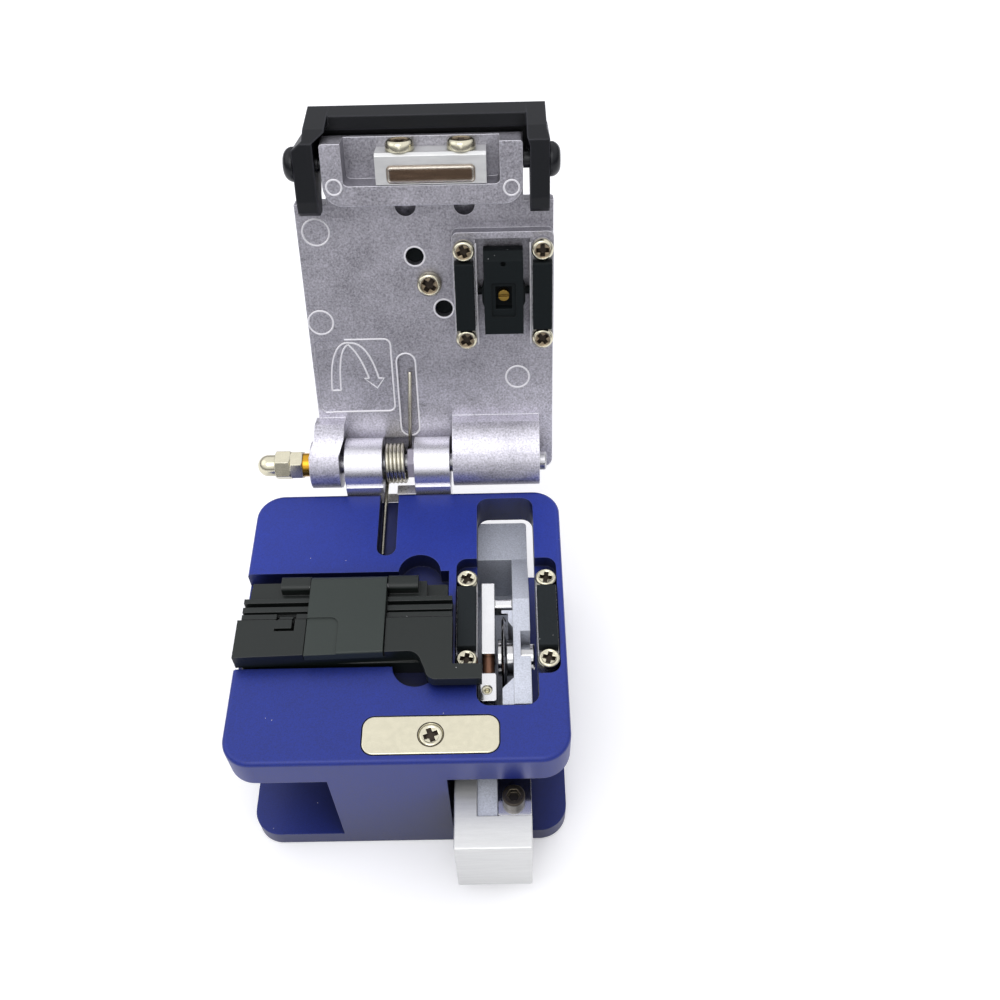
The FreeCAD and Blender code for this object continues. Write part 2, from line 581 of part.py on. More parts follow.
def clamp_seat(x):
    """Steel seat of a lower pad: round ends under the screws, a raised middle rib."""
    half = seat_w / 2
    y0, y1 = fibre_y - clamp_screw_y - half, fibre_y + clamp_screw_y + half
    seat = plate(x - half, x + half, y0, y1, clamp_floor, clamp_floor + seat_t, half - 0.02)
    return holes(seat, clamp_screw_places(x, clamp_floor + seat_t), (0, 0, 1), 0.95, 9)


def lower_pad(x):
    """Rubber pad with a shallow groove on top where the fibre lies."""
    z0 = clamp_floor + seat_t
    pad = box(x - pad_w / 2, x + pad_w / 2, fibre_y - pad_l / 2, fibre_y + pad_l / 2, z0, fibre_z)
    return fillet(pad, pad_edge_r, level(fibre_z))


def lower_clamp_screws():
    return [pan_screw(p, (0, 0, 1), pan_head_d, pan_head_h, pan_shank_d, pan_shank_l)
            for x in (clamp_left_x, clamp_right_x)
            for p in clamp_screw_places(x, clamp_floor + seat_t)]


def rail_screw_places(z):
    n = 4
    pitch = (rail_y1 - rail_y0 - 2 * rail_screws_in) / (n - 1)
    return [(rail_x, rail_y0 + rail_screws_in + k * pitch, z) for k in range(n)]


def slide_rail():
    """Linear rail with undercut flanks, screwed to the base plate."""
    w, h = rail_w / 2, rail_h
    z = base_t
    rail = Part.makePolygon([V(rail_x + a, rail_y0, z + b) for a, b in [
        (-w, 0), (w, 0), (w, h * 0.35), (w - 0.6, h * 0.55), (w, h * 0.75), (w, h),
        (-w, h), (-w, h * 0.75), (-w + 0.6, h * 0.55), (-w, h * 0.35), (-w, 0)]])
    rail = Part.Face(rail).extrude(V(0, rail_y1 - rail_y0, 0))
    rail = holes(rail, rail_screw_places(z + h), (0, 0, 1), 0.95, h + 1)
    return holes(rail, rail_screw_places(z + h), (0, 0, 1), 1.7, 1.5)


def rail_screws():
    z = base_t + rail_h - 1.5
    return [socket_screw((x, y, z), (0, 0, 1), 3.1, 1.2, 1.3, 1.8, 4.6)
            for x, y, _ in rail_screw_places(z)]


# ---------------------------------------------------------------- slider
def bearing_block():
    """Recirculating block that runs on the rail."""
    z0, z1 = base_t + truck_lift, truck_top
    y0 = (rail_y0 + rail_y1 - truck_l - slide_travel) / 2 + 0.5
    truck = box(rail_x - truck_w / 2, rail_x + truck_w / 2, y0, y0 + truck_l, z0, z1)
    truck = fillet(truck, 0.6, lambda e: abs(e.tangentAt(e.FirstParameter).y) > 0.999)
    g = truck_fit
    w, h, z = rail_w / 2 + g, rail_h, base_t
    bore = Part.makePolygon([V(rail_x + a, y0 - 1, z + b) for a, b in [
        (-w, 0), (w, 0), (w, h * 0.35), (w - 0.6, h * 0.55), (w, h * 0.75), (w, h + g),
        (-w, h + g), (-w, h * 0.75), (-w + 0.6, h * 0.55), (-w, h * 0.35), (-w, 0)]])
    return truck.cut(Part.Face(bore).extrude(V(0, truck_l + 2, 0)))


def carriage():
    """Machined slide: floor on the bearing block, rear block, and the wall that holds the blade."""
    z0 = truck_top
    floor = box(carriage_x0, carriage_x1, carriage_y0, carriage_y1, z0, z0 + carriage_floor_t)
    rear = box(carriage_x0, carriage_x1, block_y0, carriage_y1, z0, carriage_top)
    rear = fillet(rear, 0.8, lambda e: vertical(e) and e.BoundBox.YMin > carriage_y1 - 0.1)
    wall = side_profile([(wall_y0, z0), (block_y0 + 1, z0), (block_y0 + 1, carriage_top),
                         (block_y0, carriage_top), (fibre_y + 5.35, wall_top),
                         (wall_y0, wall_top)],
                        wall_x, carriage_x1)
    # lugs before and behind the blade, bevelled towards it
    low, high = blade_z - 4.0, wall_top - 0.3
    lugs = [
        plan_profile([(wall_x + 0.1, wall_y0), (wall_x - lug_t, wall_y0),
                      (wall_x - lug_t, wall_y0 + 3.4), (wall_x + 0.1, wall_y0 + 5.8)], low, high),
        plan_profile([(wall_x + 0.1, cross_front - 4.5), (wall_x - lug_t, cross_front - 1.1),
                      (wall_x - lug_t, cross_front - 0.4), (wall_x + 0.1, cross_front - 0.4)],
                     low, high),
    ]
    # keep the lugs off the blade's rim
    lugs = [g.cut(x_rod(blade_x - 2, blade_x + blade_t / 2 + 0.4, blade_y, blade_z,
                        blade_r + 0.6)) for g in lugs]
    neck = box(carriage_x0, carriage_x1, carriage_y0, carriage_y0 + 2.6, z0 + 2.5, knob_z1 - 0.7)
    tongue = box(knob_x0 + knob_arm_w + FLAT_GAP, stop_plate_x0 - 0.1, knob_back + 0.1,
                 carriage_y0 + 0.1, knob_z1 - knob_step, knob_z1 - 0.7)
    body = one([floor, rear, wall, neck, tongue] + lugs)
    z = blade_z
    hub = x_rod(wall_x - 1, carriage_x1 + 1, blade_y, z, hub_screw_d / 2 + 0.3)
    # U-shaped pocket for the head of the blade screw, open at the top
    seat = carriage_x1 - pocket_depth
    pocket = one([x_rod(seat, carriage_x1 + 1, blade_y, z, pocket_w / 2),
                  box(seat, carriage_x1 + 1, blade_y - pocket_w / 2,
                      blade_y + pocket_w / 2, z, wall_top + 1)])
    return body.cut(hub).cut(pocket)


def blade():
    """Disc with a two-sided edge; it can be turned to a fresh stretch of edge."""
    z, half, bevel = blade_z, blade_t / 2, blade_bevel
    wire = Part.makePolygon([V(a, b, 0) for a, b in [
        (-half, hub_r + RUN_FIT), (half, hub_r + RUN_FIT), (half, blade_r - bevel), (0, blade_r),
        (-half, blade_r - bevel), (-half, hub_r + RUN_FIT)]])
    disc = Part.Face(wire).revolve(V(0, 0, 0), V(1, 0, 0), 360)
    disc.translate(V(blade_x, blade_y, z))
    return disc


def blade_hub():
    """Flanged hub that carries the blade, clamped to the wall by the blade screw."""
    x0, x1 = blade_x - blade_t / 2 - FLAT_GAP, blade_x + blade_t / 2 + FLAT_GAP
    pieces = [x_rod(x0 - hub_flange_t, x0, blade_y, blade_z, hub_flange_r),
              x_rod(x0 - 0.1, wall_x, blade_y, blade_z, hub_r),
              x_rod(x1, wall_x, blade_y, blade_z, hub_flange_r)]
    return one(pieces).cut(x_rod(blade_x - 0.2, wall_x + 1, blade_y, blade_z, hub_screw_d / 2))


def blade_screw():
    seat = carriage_x1 - pocket_depth
    return socket_screw((seat, blade_y, blade_z), (1, 0, 0), pocket_w - 0.5, pocket_depth + 0.8,
                        2.5, hub_screw_d - 0.1, seat - blade_x)


def blade_arm():
    """T-shaped setting arm beside the blade, on its pivot at the front."""
    x0, x1 = bar_x - bar_w / 2, bar_x + bar_w / 2
    z, low = bar_top, bar_top - bar_depth
    bar = side_profile([(bar_y0, z - 4.2), (bar_y0, z), (bar_y1, z), (bar_y1, z - 7.0),
                        (bar_y1 - 2.4, low), (bar_y0 + 4.4, low)], x0, x1)
    cross = box(x1 - 0.1, wall_x, cross_front, cross_front + cross_w, z - cross_t, z - 0.2)
    cross = fillet(cross, 0.5, level(z - 0.2))
    post = box(x0, x1, cross_front - 0.5, cross_front + cross_w + 0.9,
               truck_top + carriage_floor_t, low + 0.5)
    return one([bar, cross, post])


def arm_block():
    """Front stud block in line with the setting arm; its bronze pin carries the arm."""
    x0, x1 = bar_x - bar_w / 2 - 0.3, bar_x + bar_w / 2 + 0.2
    block = box(x0, x1, stud_y0, stud_y1, truck_top + carriage_floor_t, stud_top)
    block = fillet(block, 0.4, vertical)
    return holes(block, [(*set_screw_place(), stud_top)], (0, 0, 1), set_screw_d / 2,
                 set_screw_l + 0.3)


def set_screw_place():
    return bar_x - 0.3, stud_y0 + set_screw_in


def arm_pin():
    return rod((bar_x, stud_y1, bar_top - 2.2), (0, 1, 0), pin_d / 2, bar_y0 - stud_y1)


def height_screw():
    x, y = set_screw_place()
    top = stud_top - 0.3
    screw = rod((x, y, top - set_screw_l), (0, 0, 1), set_screw_d / 2, set_screw_l)
    key = hex_prism(set_screw_d / 2, 2.0)
    key.translate(V(x, y, top - 1.0))
    return screw.cut(key)


def knob():
    """L-shaped push block with a long left arm that runs back beside the slide."""
    step = knob_z1 - knob_step
    block = box(knob_x0, knob_x1, knob_front, knob_back, knob_z0, knob_z1)
    arm = box(knob_x0, knob_x0 + knob_arm_w, knob_front, carriage_y0 + 1.0, knob_z0, knob_z1)
    # the foot behind the front band passes over the end of the rail
    foot = box(knob_x0, knob_x1, knob_back - 1, carriage_y0 - FLAT_GAP,
               base_t + rail_h + 0.6, step - FLAT_GAP)
    # the arm passes under the carriage's left edge
    passage = box(carriage_x0 - 0.05, knob_x0 + knob_arm_w + 0.05, carriage_y0 - 0.05,
                  carriage_y0 + 2, knob_z0 - 1, knob_z1 + 1)
    body = one([block, arm, foot]).cut(passage)
    return fillet(body, 0.35, lambda e: abs(e.BoundBox.YMin - knob_front) < 1e-3)


def stop_plate():
    """Chrome clamp plate that the cap screw presses on the tongue."""
    bar = box(stop_plate_x0, knob_x1, knob_back + 0.1, carriage_y0 - 0.1,
              knob_z1 - knob_step, knob_z1 - stop_drop)
    bar = fillet(bar, 0.4, vertical)
    return holes(bar, [(*stop_screw_place(), knob_z1)], (0, 0, 1), 1.2, knob_step + 4)


def stop_screw_place():
    return stop_plate_x0 + stop_screw_in, knob_back + stop_screw_in + 0.3


def stop_screw():
    return socket_screw((*stop_screw_place(), knob_z1 - stop_drop), (0, 0, 1), stop_screw_d,
                        stop_screw_d / 2, stop_screw_d / 2, 2.2, knob_step - 0.5)


# ---------------------------------------------------------------- lid (closed position)
def knuckle_arm(x0, x1, jog=0.0):
    """Lid knuckle with an arm that swells into it; jog sets the arm beside the knuckle."""
    r, face, low = lid_knuckle_r, lid_face - arm_t, hinge_z - lid_knuckle_r + 0.01
    ledge, meet, x = arm_knee_y, hinge_y - r, min(x0, x0 + jog) - 1
    top = lid_face + 0.2
    # one large arc, level where it meets the bottom of the knuckle
    reach, rise = hinge_y - ledge, face - low
    bow = (reach ** 2 + rise ** 2) / (2 * rise)
    half = math.asin(reach / bow) / 2
    middle = V(x, hinge_y - bow * math.sin(half), low + bow * (1 - math.cos(half)))
    outline = Part.Wire([
        Part.makeLine(V(x, hinge_y + r * 0.7, top), V(x, ledge, top)),
        Part.makeLine(V(x, ledge, top), V(x, ledge, face)),
        Part.Arc(V(x, ledge, face), middle, V(x, hinge_y, low)).toShape(),
        Part.makeLine(V(x, hinge_y, low), V(x, hinge_y, hinge_z)),
        Part.makeLine(V(x, hinge_y, hinge_z), V(x, hinge_y + r, hinge_z)),
        Part.makeLine(V(x, hinge_y + r, hinge_z), V(x, hinge_y + r * 0.7, top)),
    ])
    arm = Part.Face(outline).extrude(V(x1 - x0 + abs(jog) + 2, 0, 0))
    plan = plan_profile([(x0 + jog, ledge - 1), (x1 + jog, ledge - 1), (x1 + jog, ledge + 2.0),
                         (x1, meet + 1.0), (x1, hinge_y + r + 1), (x0, hinge_y + r + 1),
                         (x0, meet + 1.0), (x0 + jog, ledge + 2.0)], hinge_z - r, lid_back)
    return one([arm.common(plan), x_rod(x0, x1, hinge_y, hinge_z, r)])


def nose():
    """Drafted block under the front of the lid that carries the magnet."""
    low = round_wire(notch_left_x + nose_draft / 2, notch_right_x - 0.1, nose_y0,
                     nose_y1 - nose_draft, nose_face, [0.6, 0.6, nose_r, nose_r])
    high = round_wire(notch_left_x, notch_right_x, nose_y0, nose_y1,
                      lid_face + 0.3, [0.6, 0.6, nose_r, nose_r])
    block = Part.makeLoft([low, high], True, True)
    return block.cut(plate(recess_x0, recess_x1, nose_y0 - 2, recess_y1, nose_face - 1,
                           nose_face + recess_depth, [0.1, 0.1, 0.9, 0.9]))


def lid_rail(x):
    half = lid_rail_w / 2
    return plate(x - half, x + half, lid_rail_y0, lid_rail_y1, lid_rail_z, lid_face + 0.2,
                 lid_rail_r)


def lid_shell():
    edge = [lid_front_r, lid_front_r, lid_corner_r, lid_corner_r]
    skin = plate(lid_x0, lid_x1, lid_y0, lid_y1, lid_face, lid_back, edge)
    skin = fillet(skin, lid_edge_r, level(lid_back))
    notches = [box(lid_x0 - 1, notch_left_x, lid_y0 - 1, notch_y, lid_face - 1, lid_back + 1),
               box(notch_right_x, lid_x1 + 1, lid_y0 - 1, notch_y, lid_face - 1, lid_back + 1)]
    skin = skin.cut(Part.Compound(notches))
    frame_bar = box(lid_clamp_left_x, lid_clamp_right_x, lid_rail_y0, lid_rail_y0 + frame_bar_t,
                    lid_rail_z, lid_face + 0.2)
    shell = one([skin, nose(), knuckle_arm(*lid_knuckle_left, arm_jog),
                 knuckle_arm(*lid_knuckle_right),
                 lid_rail(lid_clamp_left_x), lid_rail(lid_clamp_right_x), frame_bar])
    relief_r = body_knuckle_r + MOVE_GAP
    cuts = [
        x_rod(lid_knuckle_left[1], lid_knuckle_right[0], hinge_y, hinge_z, relief_r),
        x_rod(lid_knuckle_left[0] - 1, lid_knuckle_right[1] + 1, hinge_y, hinge_z,
              shaft_r + RUN_FIT),
        # groove of the spring leg
        plate(groove_x - groove_w / 2, groove_x + groove_w / 2, hinge_y - 4.4 - groove_l - 1.5,
              hinge_y - 4.4, lid_face - 1, lid_face + groove_depth, groove_w / 2 - 0.05),
        # panel for the direction mark
        plate(lid_x0 + panel_in, lid_x0 + panel_in + panel_w, hinge_y - panel_up - panel_l,
              hinge_y - panel_up, lid_face - 1, lid_face + panel_depth, 1.3),
    ]
    # dimples where the magnet screws come out behind the nose
    for x in magnet_screw_xs():
        end = V(x, nose_y1 + 0.6, lid_face)
        cuts += [rod((x, nose_y1 - 1.5, lid_face), (0, 1, 0), dimple_r, 2.1),
                 Part.makeSphere(dimple_r, end)]
    # through holes of the press pad and its screw
    for x, y, r in [(*peg, peg_r + 0.05) for peg in press_pegs()] + [(*press_screw, 1.3)]:
        cuts.append(rod((x, y, lid_face - 1), (0, 0, 1), r, lid_t + 2))
    # shallow ejector rings
    for x, y, r in ejector_marks():
        ring_cut = rod((x, y, lid_face - 1), (0, 0, 1), r + 0.12, 1.12).cut(
            rod((x, y, lid_face - 1), (0, 0, 1), r - 0.12, 1.12))
        cuts.append(ring_cut)
    # bearings of the anvil pin
    cuts.append(x_rod(anvil_x - anvil_w / 2 - 1.4, anvil_x + anvil_w / 2 + 1.4,
                      fibre_y, anvil_pin_z, anvil_pin_d / 2 + RUN_FIT))
    shell = shell.cut(Part.Compound(cuts))
    for x in (lid_clamp_left_x, lid_clamp_right_x):
        shell = holes(shell, clamp_screw_places(x, lid_rail_z - 0.1), (0, 0, -1), 0.8, 5.0)
    shell = holes(shell, [(x, holder_y1 - 0.1, magnet_screw_z()) for x in magnet_screw_xs()],
                  (0, -1, 0), magnet_shank_d / 2, 4.2)
    for x, n in ((notch_left_x, -1), (notch_right_x, 1)):
        shell = holes(shell, [(x + n, pivot_y, pivot_z)], (n, 0, 0), pivot_tip_d / 2,
                      pivot_tip_l + 1.2)
    return shell


def ejector_marks():
    """(x, y, radius) of the round marks left by the casting die."""
    return [(lid_x0 + 3.64, lid_y0 + 17.4, 2.6), (lid_x0 + 2.64, lid_y0 + 35.9, 2.5),
            (lid_x1 - 7.25, lid_y0 + 48.7, 2.4)]


def press_pegs():
    x, y = press_screw
    return [(x - peg_dx, y - peg_dy), (x + peg_dx, y + peg_dy)]


def magnet_screw_xs():
    return [magnet_x - magnet_screw_pitch / 2, magnet_x + magnet_screw_pitch / 2]


def magnet_screw_z():
    return magnet_z + magnet_t + magnet_shank_d / 2 + FLAT_GAP


def magnet_holder():
    """Steel carrier in the nose recess: a front rail for the screws and a pocket for the magnet."""
    x0, x1 = magnet_x - holder_l / 2, magnet_x + holder_l / 2
    top = nose_face + recess_depth
    body = box(x0, x1, holder_y0, holder_y1, nose_face - 0.1, top)
    body = body.makeChamfer(0.5, [e for e in body.Edges if level(nose_face - 0.1)(e)
                                  and e.BoundBox.YMax < holder_y0 + 0.1])
    mx0, mx1 = magnet_box_x()
    my0, my1 = magnet_box_y()
    body = body.cut(plate(mx0, mx1, my0, my1, nose_face - 1, magnet_z + magnet_t, magnet_r))
    return holes(body, [(x, holder_y0, magnet_screw_z()) for x in magnet_screw_xs()],
                 (0, -1, 0), 1.0, 12)


def magnet_box_x():
    return magnet_x - magnet_l / 2, magnet_x + magnet_l / 2


def magnet_box_y():
    return strike_y - magnet_w / 2 + 0.2, strike_y + magnet_w / 2 + 0.2


def magnet():
    x0, x1 = magnet_box_x()
    y0, y1 = magnet_box_y()
    bar = plate(x0, x1, y0, y1, magnet_z, magnet_z + magnet_t, magnet_r)
    return bar.makeChamfer(magnet_bevel, [e for e in bar.Edges if level(magnet_z)(e)])


def magnet_screws():
    return [pan_screw((x, holder_y0, magnet_screw_z()), (0, -1, 0), magnet_screw_d, 1.8,
                      magnet_shank_d, magnet_screw_l) for x in magnet_screw_xs()]


def lid_clamp_seat(x):
    half = seat_w / 2
    z1 = lid_rail_z
    y0, y1 = fibre_y - clamp_screw_y - half, fibre_y + clamp_screw_y + half
    seat = plate(x - half, x + half, y0, y1, z1 - lid_seat_t, z1, half - 0.02)
    return holes(seat, clamp_screw_places(x, z1 - lid_seat_t), (0, 0, -1), 0.95, 9)


def upper_pad(x):
    z1 = lid_rail_z - lid_seat_t
    pad = box(x - pad_w / 2, x + pad_w / 2, fibre_y - pad_l / 2, fibre_y + pad_l / 2,
              pad_gap_z, z1)
    return fillet(pad, pad_edge_r, level(pad_gap_z))


def upper_clamp_screws():
    z = lid_rail_z - lid_seat_t
    return [pan_screw(p, (0, 0, -1), lid_screw_d, lid_screw_h, pan_shank_d, lid_screw_l)
            for x in (lid_clamp_left_x, lid_clamp_right_x) for p in clamp_screw_places(x, z)]


def press_pad():
    """Plate on the outer face with two pegs let into the lid."""
    x, y = press_screw
    w, d, top = press_w / 2, press_l / 2, lid_back + press_t
    body = plate(x - w, x + w, y - d, y + d, lid_back, top, 3.0)
    body = fillet(body, 0.7, level(top))
    pegs = [rod((px, py, lid_back - peg_l), (0, 0, 1), peg_r, peg_l + 0.4)
            for px, py in press_pegs()]
    return holes(one([body] + pegs), [(x, y, top - 0.8)], (0, 0, 1), 1.25, 3.0)


def press_pad_screw():
    x, y = press_screw
    return pan_screw((x, y, lid_face), (0, 0, -1), 4.9, 1.7, 2.4, lid_t + 1.2)


def lever_pivot_screws():
    """Button-head shoulder screws that carry the lever arms."""
    out = []
    r, h, shank, tip = pivot_head_d / 2, pivot_head_h, pivot_shank_d / 2, pivot_tip_d / 2
    for face, way in ((lever_left()[0], -1), (lever_right()[1], 1)):
        inner = notch_left_x if way < 0 else notch_right_x
        reach = abs(face - inner) + FLAT_GAP
        end = -reach - pivot_tip_l
        points = [V(0, 0, end), V(tip, 0, end), V(tip, 0, -reach), V(shank, 0, -reach),
                  V(shank, 0, 0), V(r, 0, 0), V(r, 0, h * 0.25)]
        edges = [Part.makeLine(a, b) for a, b in zip(points, points[1:])]
        edges += [Part.Arc(points[-1], V(r * 0.8, 0, h * 0.78), V(r * 0.5, 0, h)).toShape(),
                  Part.makeLine(V(r * 0.5, 0, h), V(0, 0, h)),
                  Part.makeLine(V(0, 0, h), points[0])]
        screw = Part.Face(Part.Wire(edges)).revolve(V(0, 0, 0), V(0, 0, 1), 360)
        key = hex_prism(r * 0.6, h)
        key.translate(V(0, 0, h * 0.4))
        screw = screw.cut(key)
        screw.Placement = FreeCAD.Placement(V(face + way * FLAT_GAP, pivot_y, pivot_z),
                                            FreeCAD.Rotation(V(0, 0, 1), V(way, 0, 0)))
        out.append(screw)
    return out


# ---------------------------------------------------------------- anvil
def anvil():
    """Black rocking anvil between the upper clamps, with its trunnion pin."""
    x, z0, z1, half = anvil_x, anvil_z, anvil_z + anvil_t, anvil_w / 2
    body = box(x - half + anvil_waist, x + half - anvil_waist, fibre_y - anvil_front,
               fibre_y + anvil_rear, z0, z1)
    ears = plate(x - half, x + half, fibre_y - anvil_ear, fibre_y + anvil_ear, z0 + 0.9, z1, 2.6)
    pin = x_rod(x - half - anvil_pin_l, x + half + anvil_pin_l, fibre_y, anvil_pin_z,
                anvil_pin_d / 2)
    window = box(x - window_w / 2, x + window_w / 2, fibre_y - window_front,
                 fibre_y + window_rear, z0 - 1, z0 + window_depth)
    border = plate(x - window_w / 2 - window_rim, x + window_w / 2 + window_rim,
                   fibre_y - window_front - window_rim, fibre_y + window_rear + 2 * window_rim,
                   z0 - 1, z0 + 0.45, 0.5)
    dot = rod((x, fibre_y - anvil_front + 2.2, z0 - 1), (0, 0, 1), 0.5, 2.0)
    toe = side_profile([(fibre_y - anvil_front - 1, z0 - 1), (fibre_y - anvil_front + 1.6, z0 - 1),
                        (fibre_y - anvil_front + 1.6, z0), (fibre_y - anvil_front - 1, z0 + 2.4)],
                       x - half - 1, x + half + 1)
    return one([body, ears, pin]).cut(Part.Compound([window, border, dot])).cut(toe)


def anvil_screw():
    top = anvil_z + 0.9
    screw = rod((anvil_x, fibre_y, top), (0, 0, 1), 1.1, window_depth - 0.9)
    slot = box(anvil_x - 1.3, anvil_x + 1.3, fibre_y - 0.25, fibre_y + 0.25, top - 1, top + 0.5)
    return screw.cut(slot)


# ---------------------------------------------------------------- lever
def lever_left():
    return notch_left_x - lever_gap - lever_arm_w, notch_left_x - lever_gap


def lever_right():
    x0 = notch_right_x + lever_gap + 0.7
    return x0, x0 + lever_arm_w - 0.3


def lever_outline():
    """Side view of an arm: flat underside, facet, leaning front, chamfered tail."""
    tail, low, top = pivot_y + lever_tail, lever_low, lever_top
    return [(tail - 2.9, low), (pivot_y - lever_front, low), (pivot_y - lever_facet, low + 3.1),
            (pivot_y - lever_tip, top - lever_bevel), (pivot_y - lever_tip + lever_bevel, top),
            (pivot_y - 1.5, top), (pivot_y + 1.9, top - 3.5), (tail - 3.1, lever_top - 6.9),
            (tail, lever_top - 7.9), (tail, low + 2 * lever_tail_r), (tail - lever_tail_r, low + 0.5)]


def lever():
    """Pry lever: two arms on the nose, joined by a grip bar in front of the lid."""
    (la, lb), (ra, rb) = lever_left(), lever_right()
    tail, neck, end = pivot_y + lever_tail + 1, pivot_y - lever_front, pivot_y - lever_tip - 1
    arms = []
    for a, b, shift in ((la, lb, lever_jog), (ra, rb, -0.5)):
        profile = side_profile(lever_outline(), min(a, a + shift) - 1, max(b, b + shift) + 1)
        plan = plan_profile([(a, tail), (b, tail), (b, neck), (b + shift, neck - 1.4),
                             (b + shift, end), (a + shift, end), (a + shift, neck - 0.4),
                             (a, neck + 1.2)], lever_low - 1, lever_top + 1)
        arms.append(profile.common(plan))
    grip_z, inner = lever_top - grip_t, lid_y0 - 1.2
    tip, over, back = pivot_y - lever_tip, lid_back + lever_under, lid_y0 - 1.2 + grip_l
    grip = side_profile([(inner, grip_z), (tip + 1.1, grip_z), (tip, lever_top - lever_bevel),
                         (tip + lever_bevel, lever_top), (back - 2.2, lever_top),
                         (back - 1.9, lever_top - 0.6), (back - 1.9, over), (inner, over)],
                        la + lever_jog + 1, rb - 1.5)
    hole_r = pivot_shank_d / 2 + RUN_FIT
    return one(arms + [grip]).cut(Part.Compound([
        x_rod(la - 1, lb + 1, pivot_y, pivot_z, hole_r),
        x_rod(ra - 1, rb + 1, pivot_y, pivot_z, hole_r),
    ]))


# ---------------------------------------------------------------- fibre holder
def holder_base():
    """Black fibre holder in the channel: grooved rear bed, solid front, arm round the clamp."""
    z0, z1 = channel_floor + FLAT_GAP, body_h + FLAT_GAP
    top, ridge, ledge = body_h + hold_top, body_h + ridge_top, body_h + ledge_top
    x0, x1, y0, y1 = hold_x0, hold_x1, hold_y0, hold_y1
    bed_y0, bed_y1 = fibre_y - 1.9, fibre_y + 3.3
    right = clamp_left_x + pad_w / 2
    low = plate(x0 + 0.8, x1, y0, y1, z0, body_h + 0.1, 0.4)
    edge = plan_profile([(x0, y0 - hold_taper_left), (right, hold_edge(right)), (right, bed_y0),
                         (x0, bed_y0)], z1, top)
    bed = box(x0 + 0.5, x1 + 1.1, bed_y0 - 0.1, bed_y1, z1, ridge)
    shelf = box(x0 + 1.4, x1 - 4.0, bed_y1 - 0.1, y1, z1, ledge)
    # arm that runs round the front of the left clamp
    ay0, ax1 = fibre_y - hold_arm_front, slot_x0 + hold_arm_reach
    ay1, az, near = ay0 + hold_arm_w, top - hold_arm_t, hold_edge(x1 - 6.8)
    outline = Part.Wire([
        Part.Arc(V(x1 - 6.8, near, az), V(x1 - 5.4, near - 0.6, az),
                 V(x1 - 4.55, near - 1.8, az)).toShape(),
        Part.makeLine(V(x1 - 4.55, near - 1.8, az), V(x1 - 3.6, ay0 + 1.9, az)),
        Part.Arc(V(x1 - 3.6, ay0 + 1.9, az), V(x1 - 3.0, ay0 + 0.6, az),
                 V(x1 - 1.8, ay0, az)).toShape(),
        Part.makePolygon([V(x1 - 1.8, ay0, az), V(ax1, ay0, az), V(ax1, ay1, az),
                          V(right, ay1, az), V(right, bed_y0, az), V(x1 - 6.8, bed_y0, az),
                          V(x1 - 6.8, near, az)]),
    ])
    arm = Part.Face(outline).extrude(V(0, 0, hold_arm_t))
    # keep the holder clear of the lower clamp and its screws
    clear = box(clamp_left_x - clamp_pocket_w / 2 - 0.4, slot_x1, ay1 + 0.05,
                fibre_y + 20, body_h - 1, top + 1)
    body = one([low, edge, bed, shelf, arm]).cut(clear)
    cuts = [box(x0 - 1, right + 1, y - w / 2, y + w / 2, ridge - d, ridge + 1)
            for y, w, d in ((fibre_y, 0.5, 1.1), (fibre_y + 1.85, 0.9, 1.6),
                            (bed_y0 + 0.3, 0.6, 0.7))]
    # rectangular flexure slot near the left end
    ux0, uy0, w = x0 + flexure_x, fibre_y - 4.45, flexure_w
    ux1, uy1, uz = ux0 + flexure_l, uy0 + 4.2, top - 2.4
    cuts += [box(ux0, ux1, uy0, uy0 + w, uz, top + 1), box(ux1 - w, ux1, uy0, uy1, uz, top + 1),
             box(ux0, ux0 + w, uy0 + 2.4, uy1, uz, top + 1),
             box(ux0, ux1, uy1 - w, uy1, uz, top + 1)]
    # bed of the clamp flap, and turning room for its barrel
    fx0, fx1 = flap_x0 - 0.2, flap_x1 + 0.2
    cuts += [box(fx0, fx1, y0 - 2, fibre_y + 20, flap_top - flap_t - 0.2, top + 5),
             x_rod(fx0, fx1, flap_py, flap_pz, flap_top - flap_pz + MOVE_GAP)]
    bosses = []
    for a, b in ((fx0 - boss_left_l, fx0), (fx1, fx1 + boss_right_l)):
        boss = box(a, b, flap_py - boss_front, flap_py + boss_rear, z1, flap_pz + 1.3)
        bosses.append(fillet(boss, 1.0, lambda e: abs(e.tangentAt(e.FirstParameter).x) > 0.999
                             and e.BoundBox.ZMin > flap_pz + 1.2))
    body = one([body.cut(Part.Compound(cuts))] + bosses)
    return body.cut(x_rod(*flap_pin_span(), flap_py, flap_pz, flap_pin_d / 2))


def hold_edge(x):
    """Y of the holder's front edge, which runs slightly back towards the right."""
    share = (x - hold_x0) / (clamp_left_x + pad_w / 2 - hold_x0)
    return hold_y0 - hold_taper_left + share * (hold_taper_left + hold_taper_right)


def flap_pin_span():
    return flap_x0 - boss_left_l + 0.9, flap_x1 + boss_right_l - 0.9


def flap_pin():
    return x_rod(*flap_pin_span(), flap_py, flap_pz, flap_pin_d / 2)


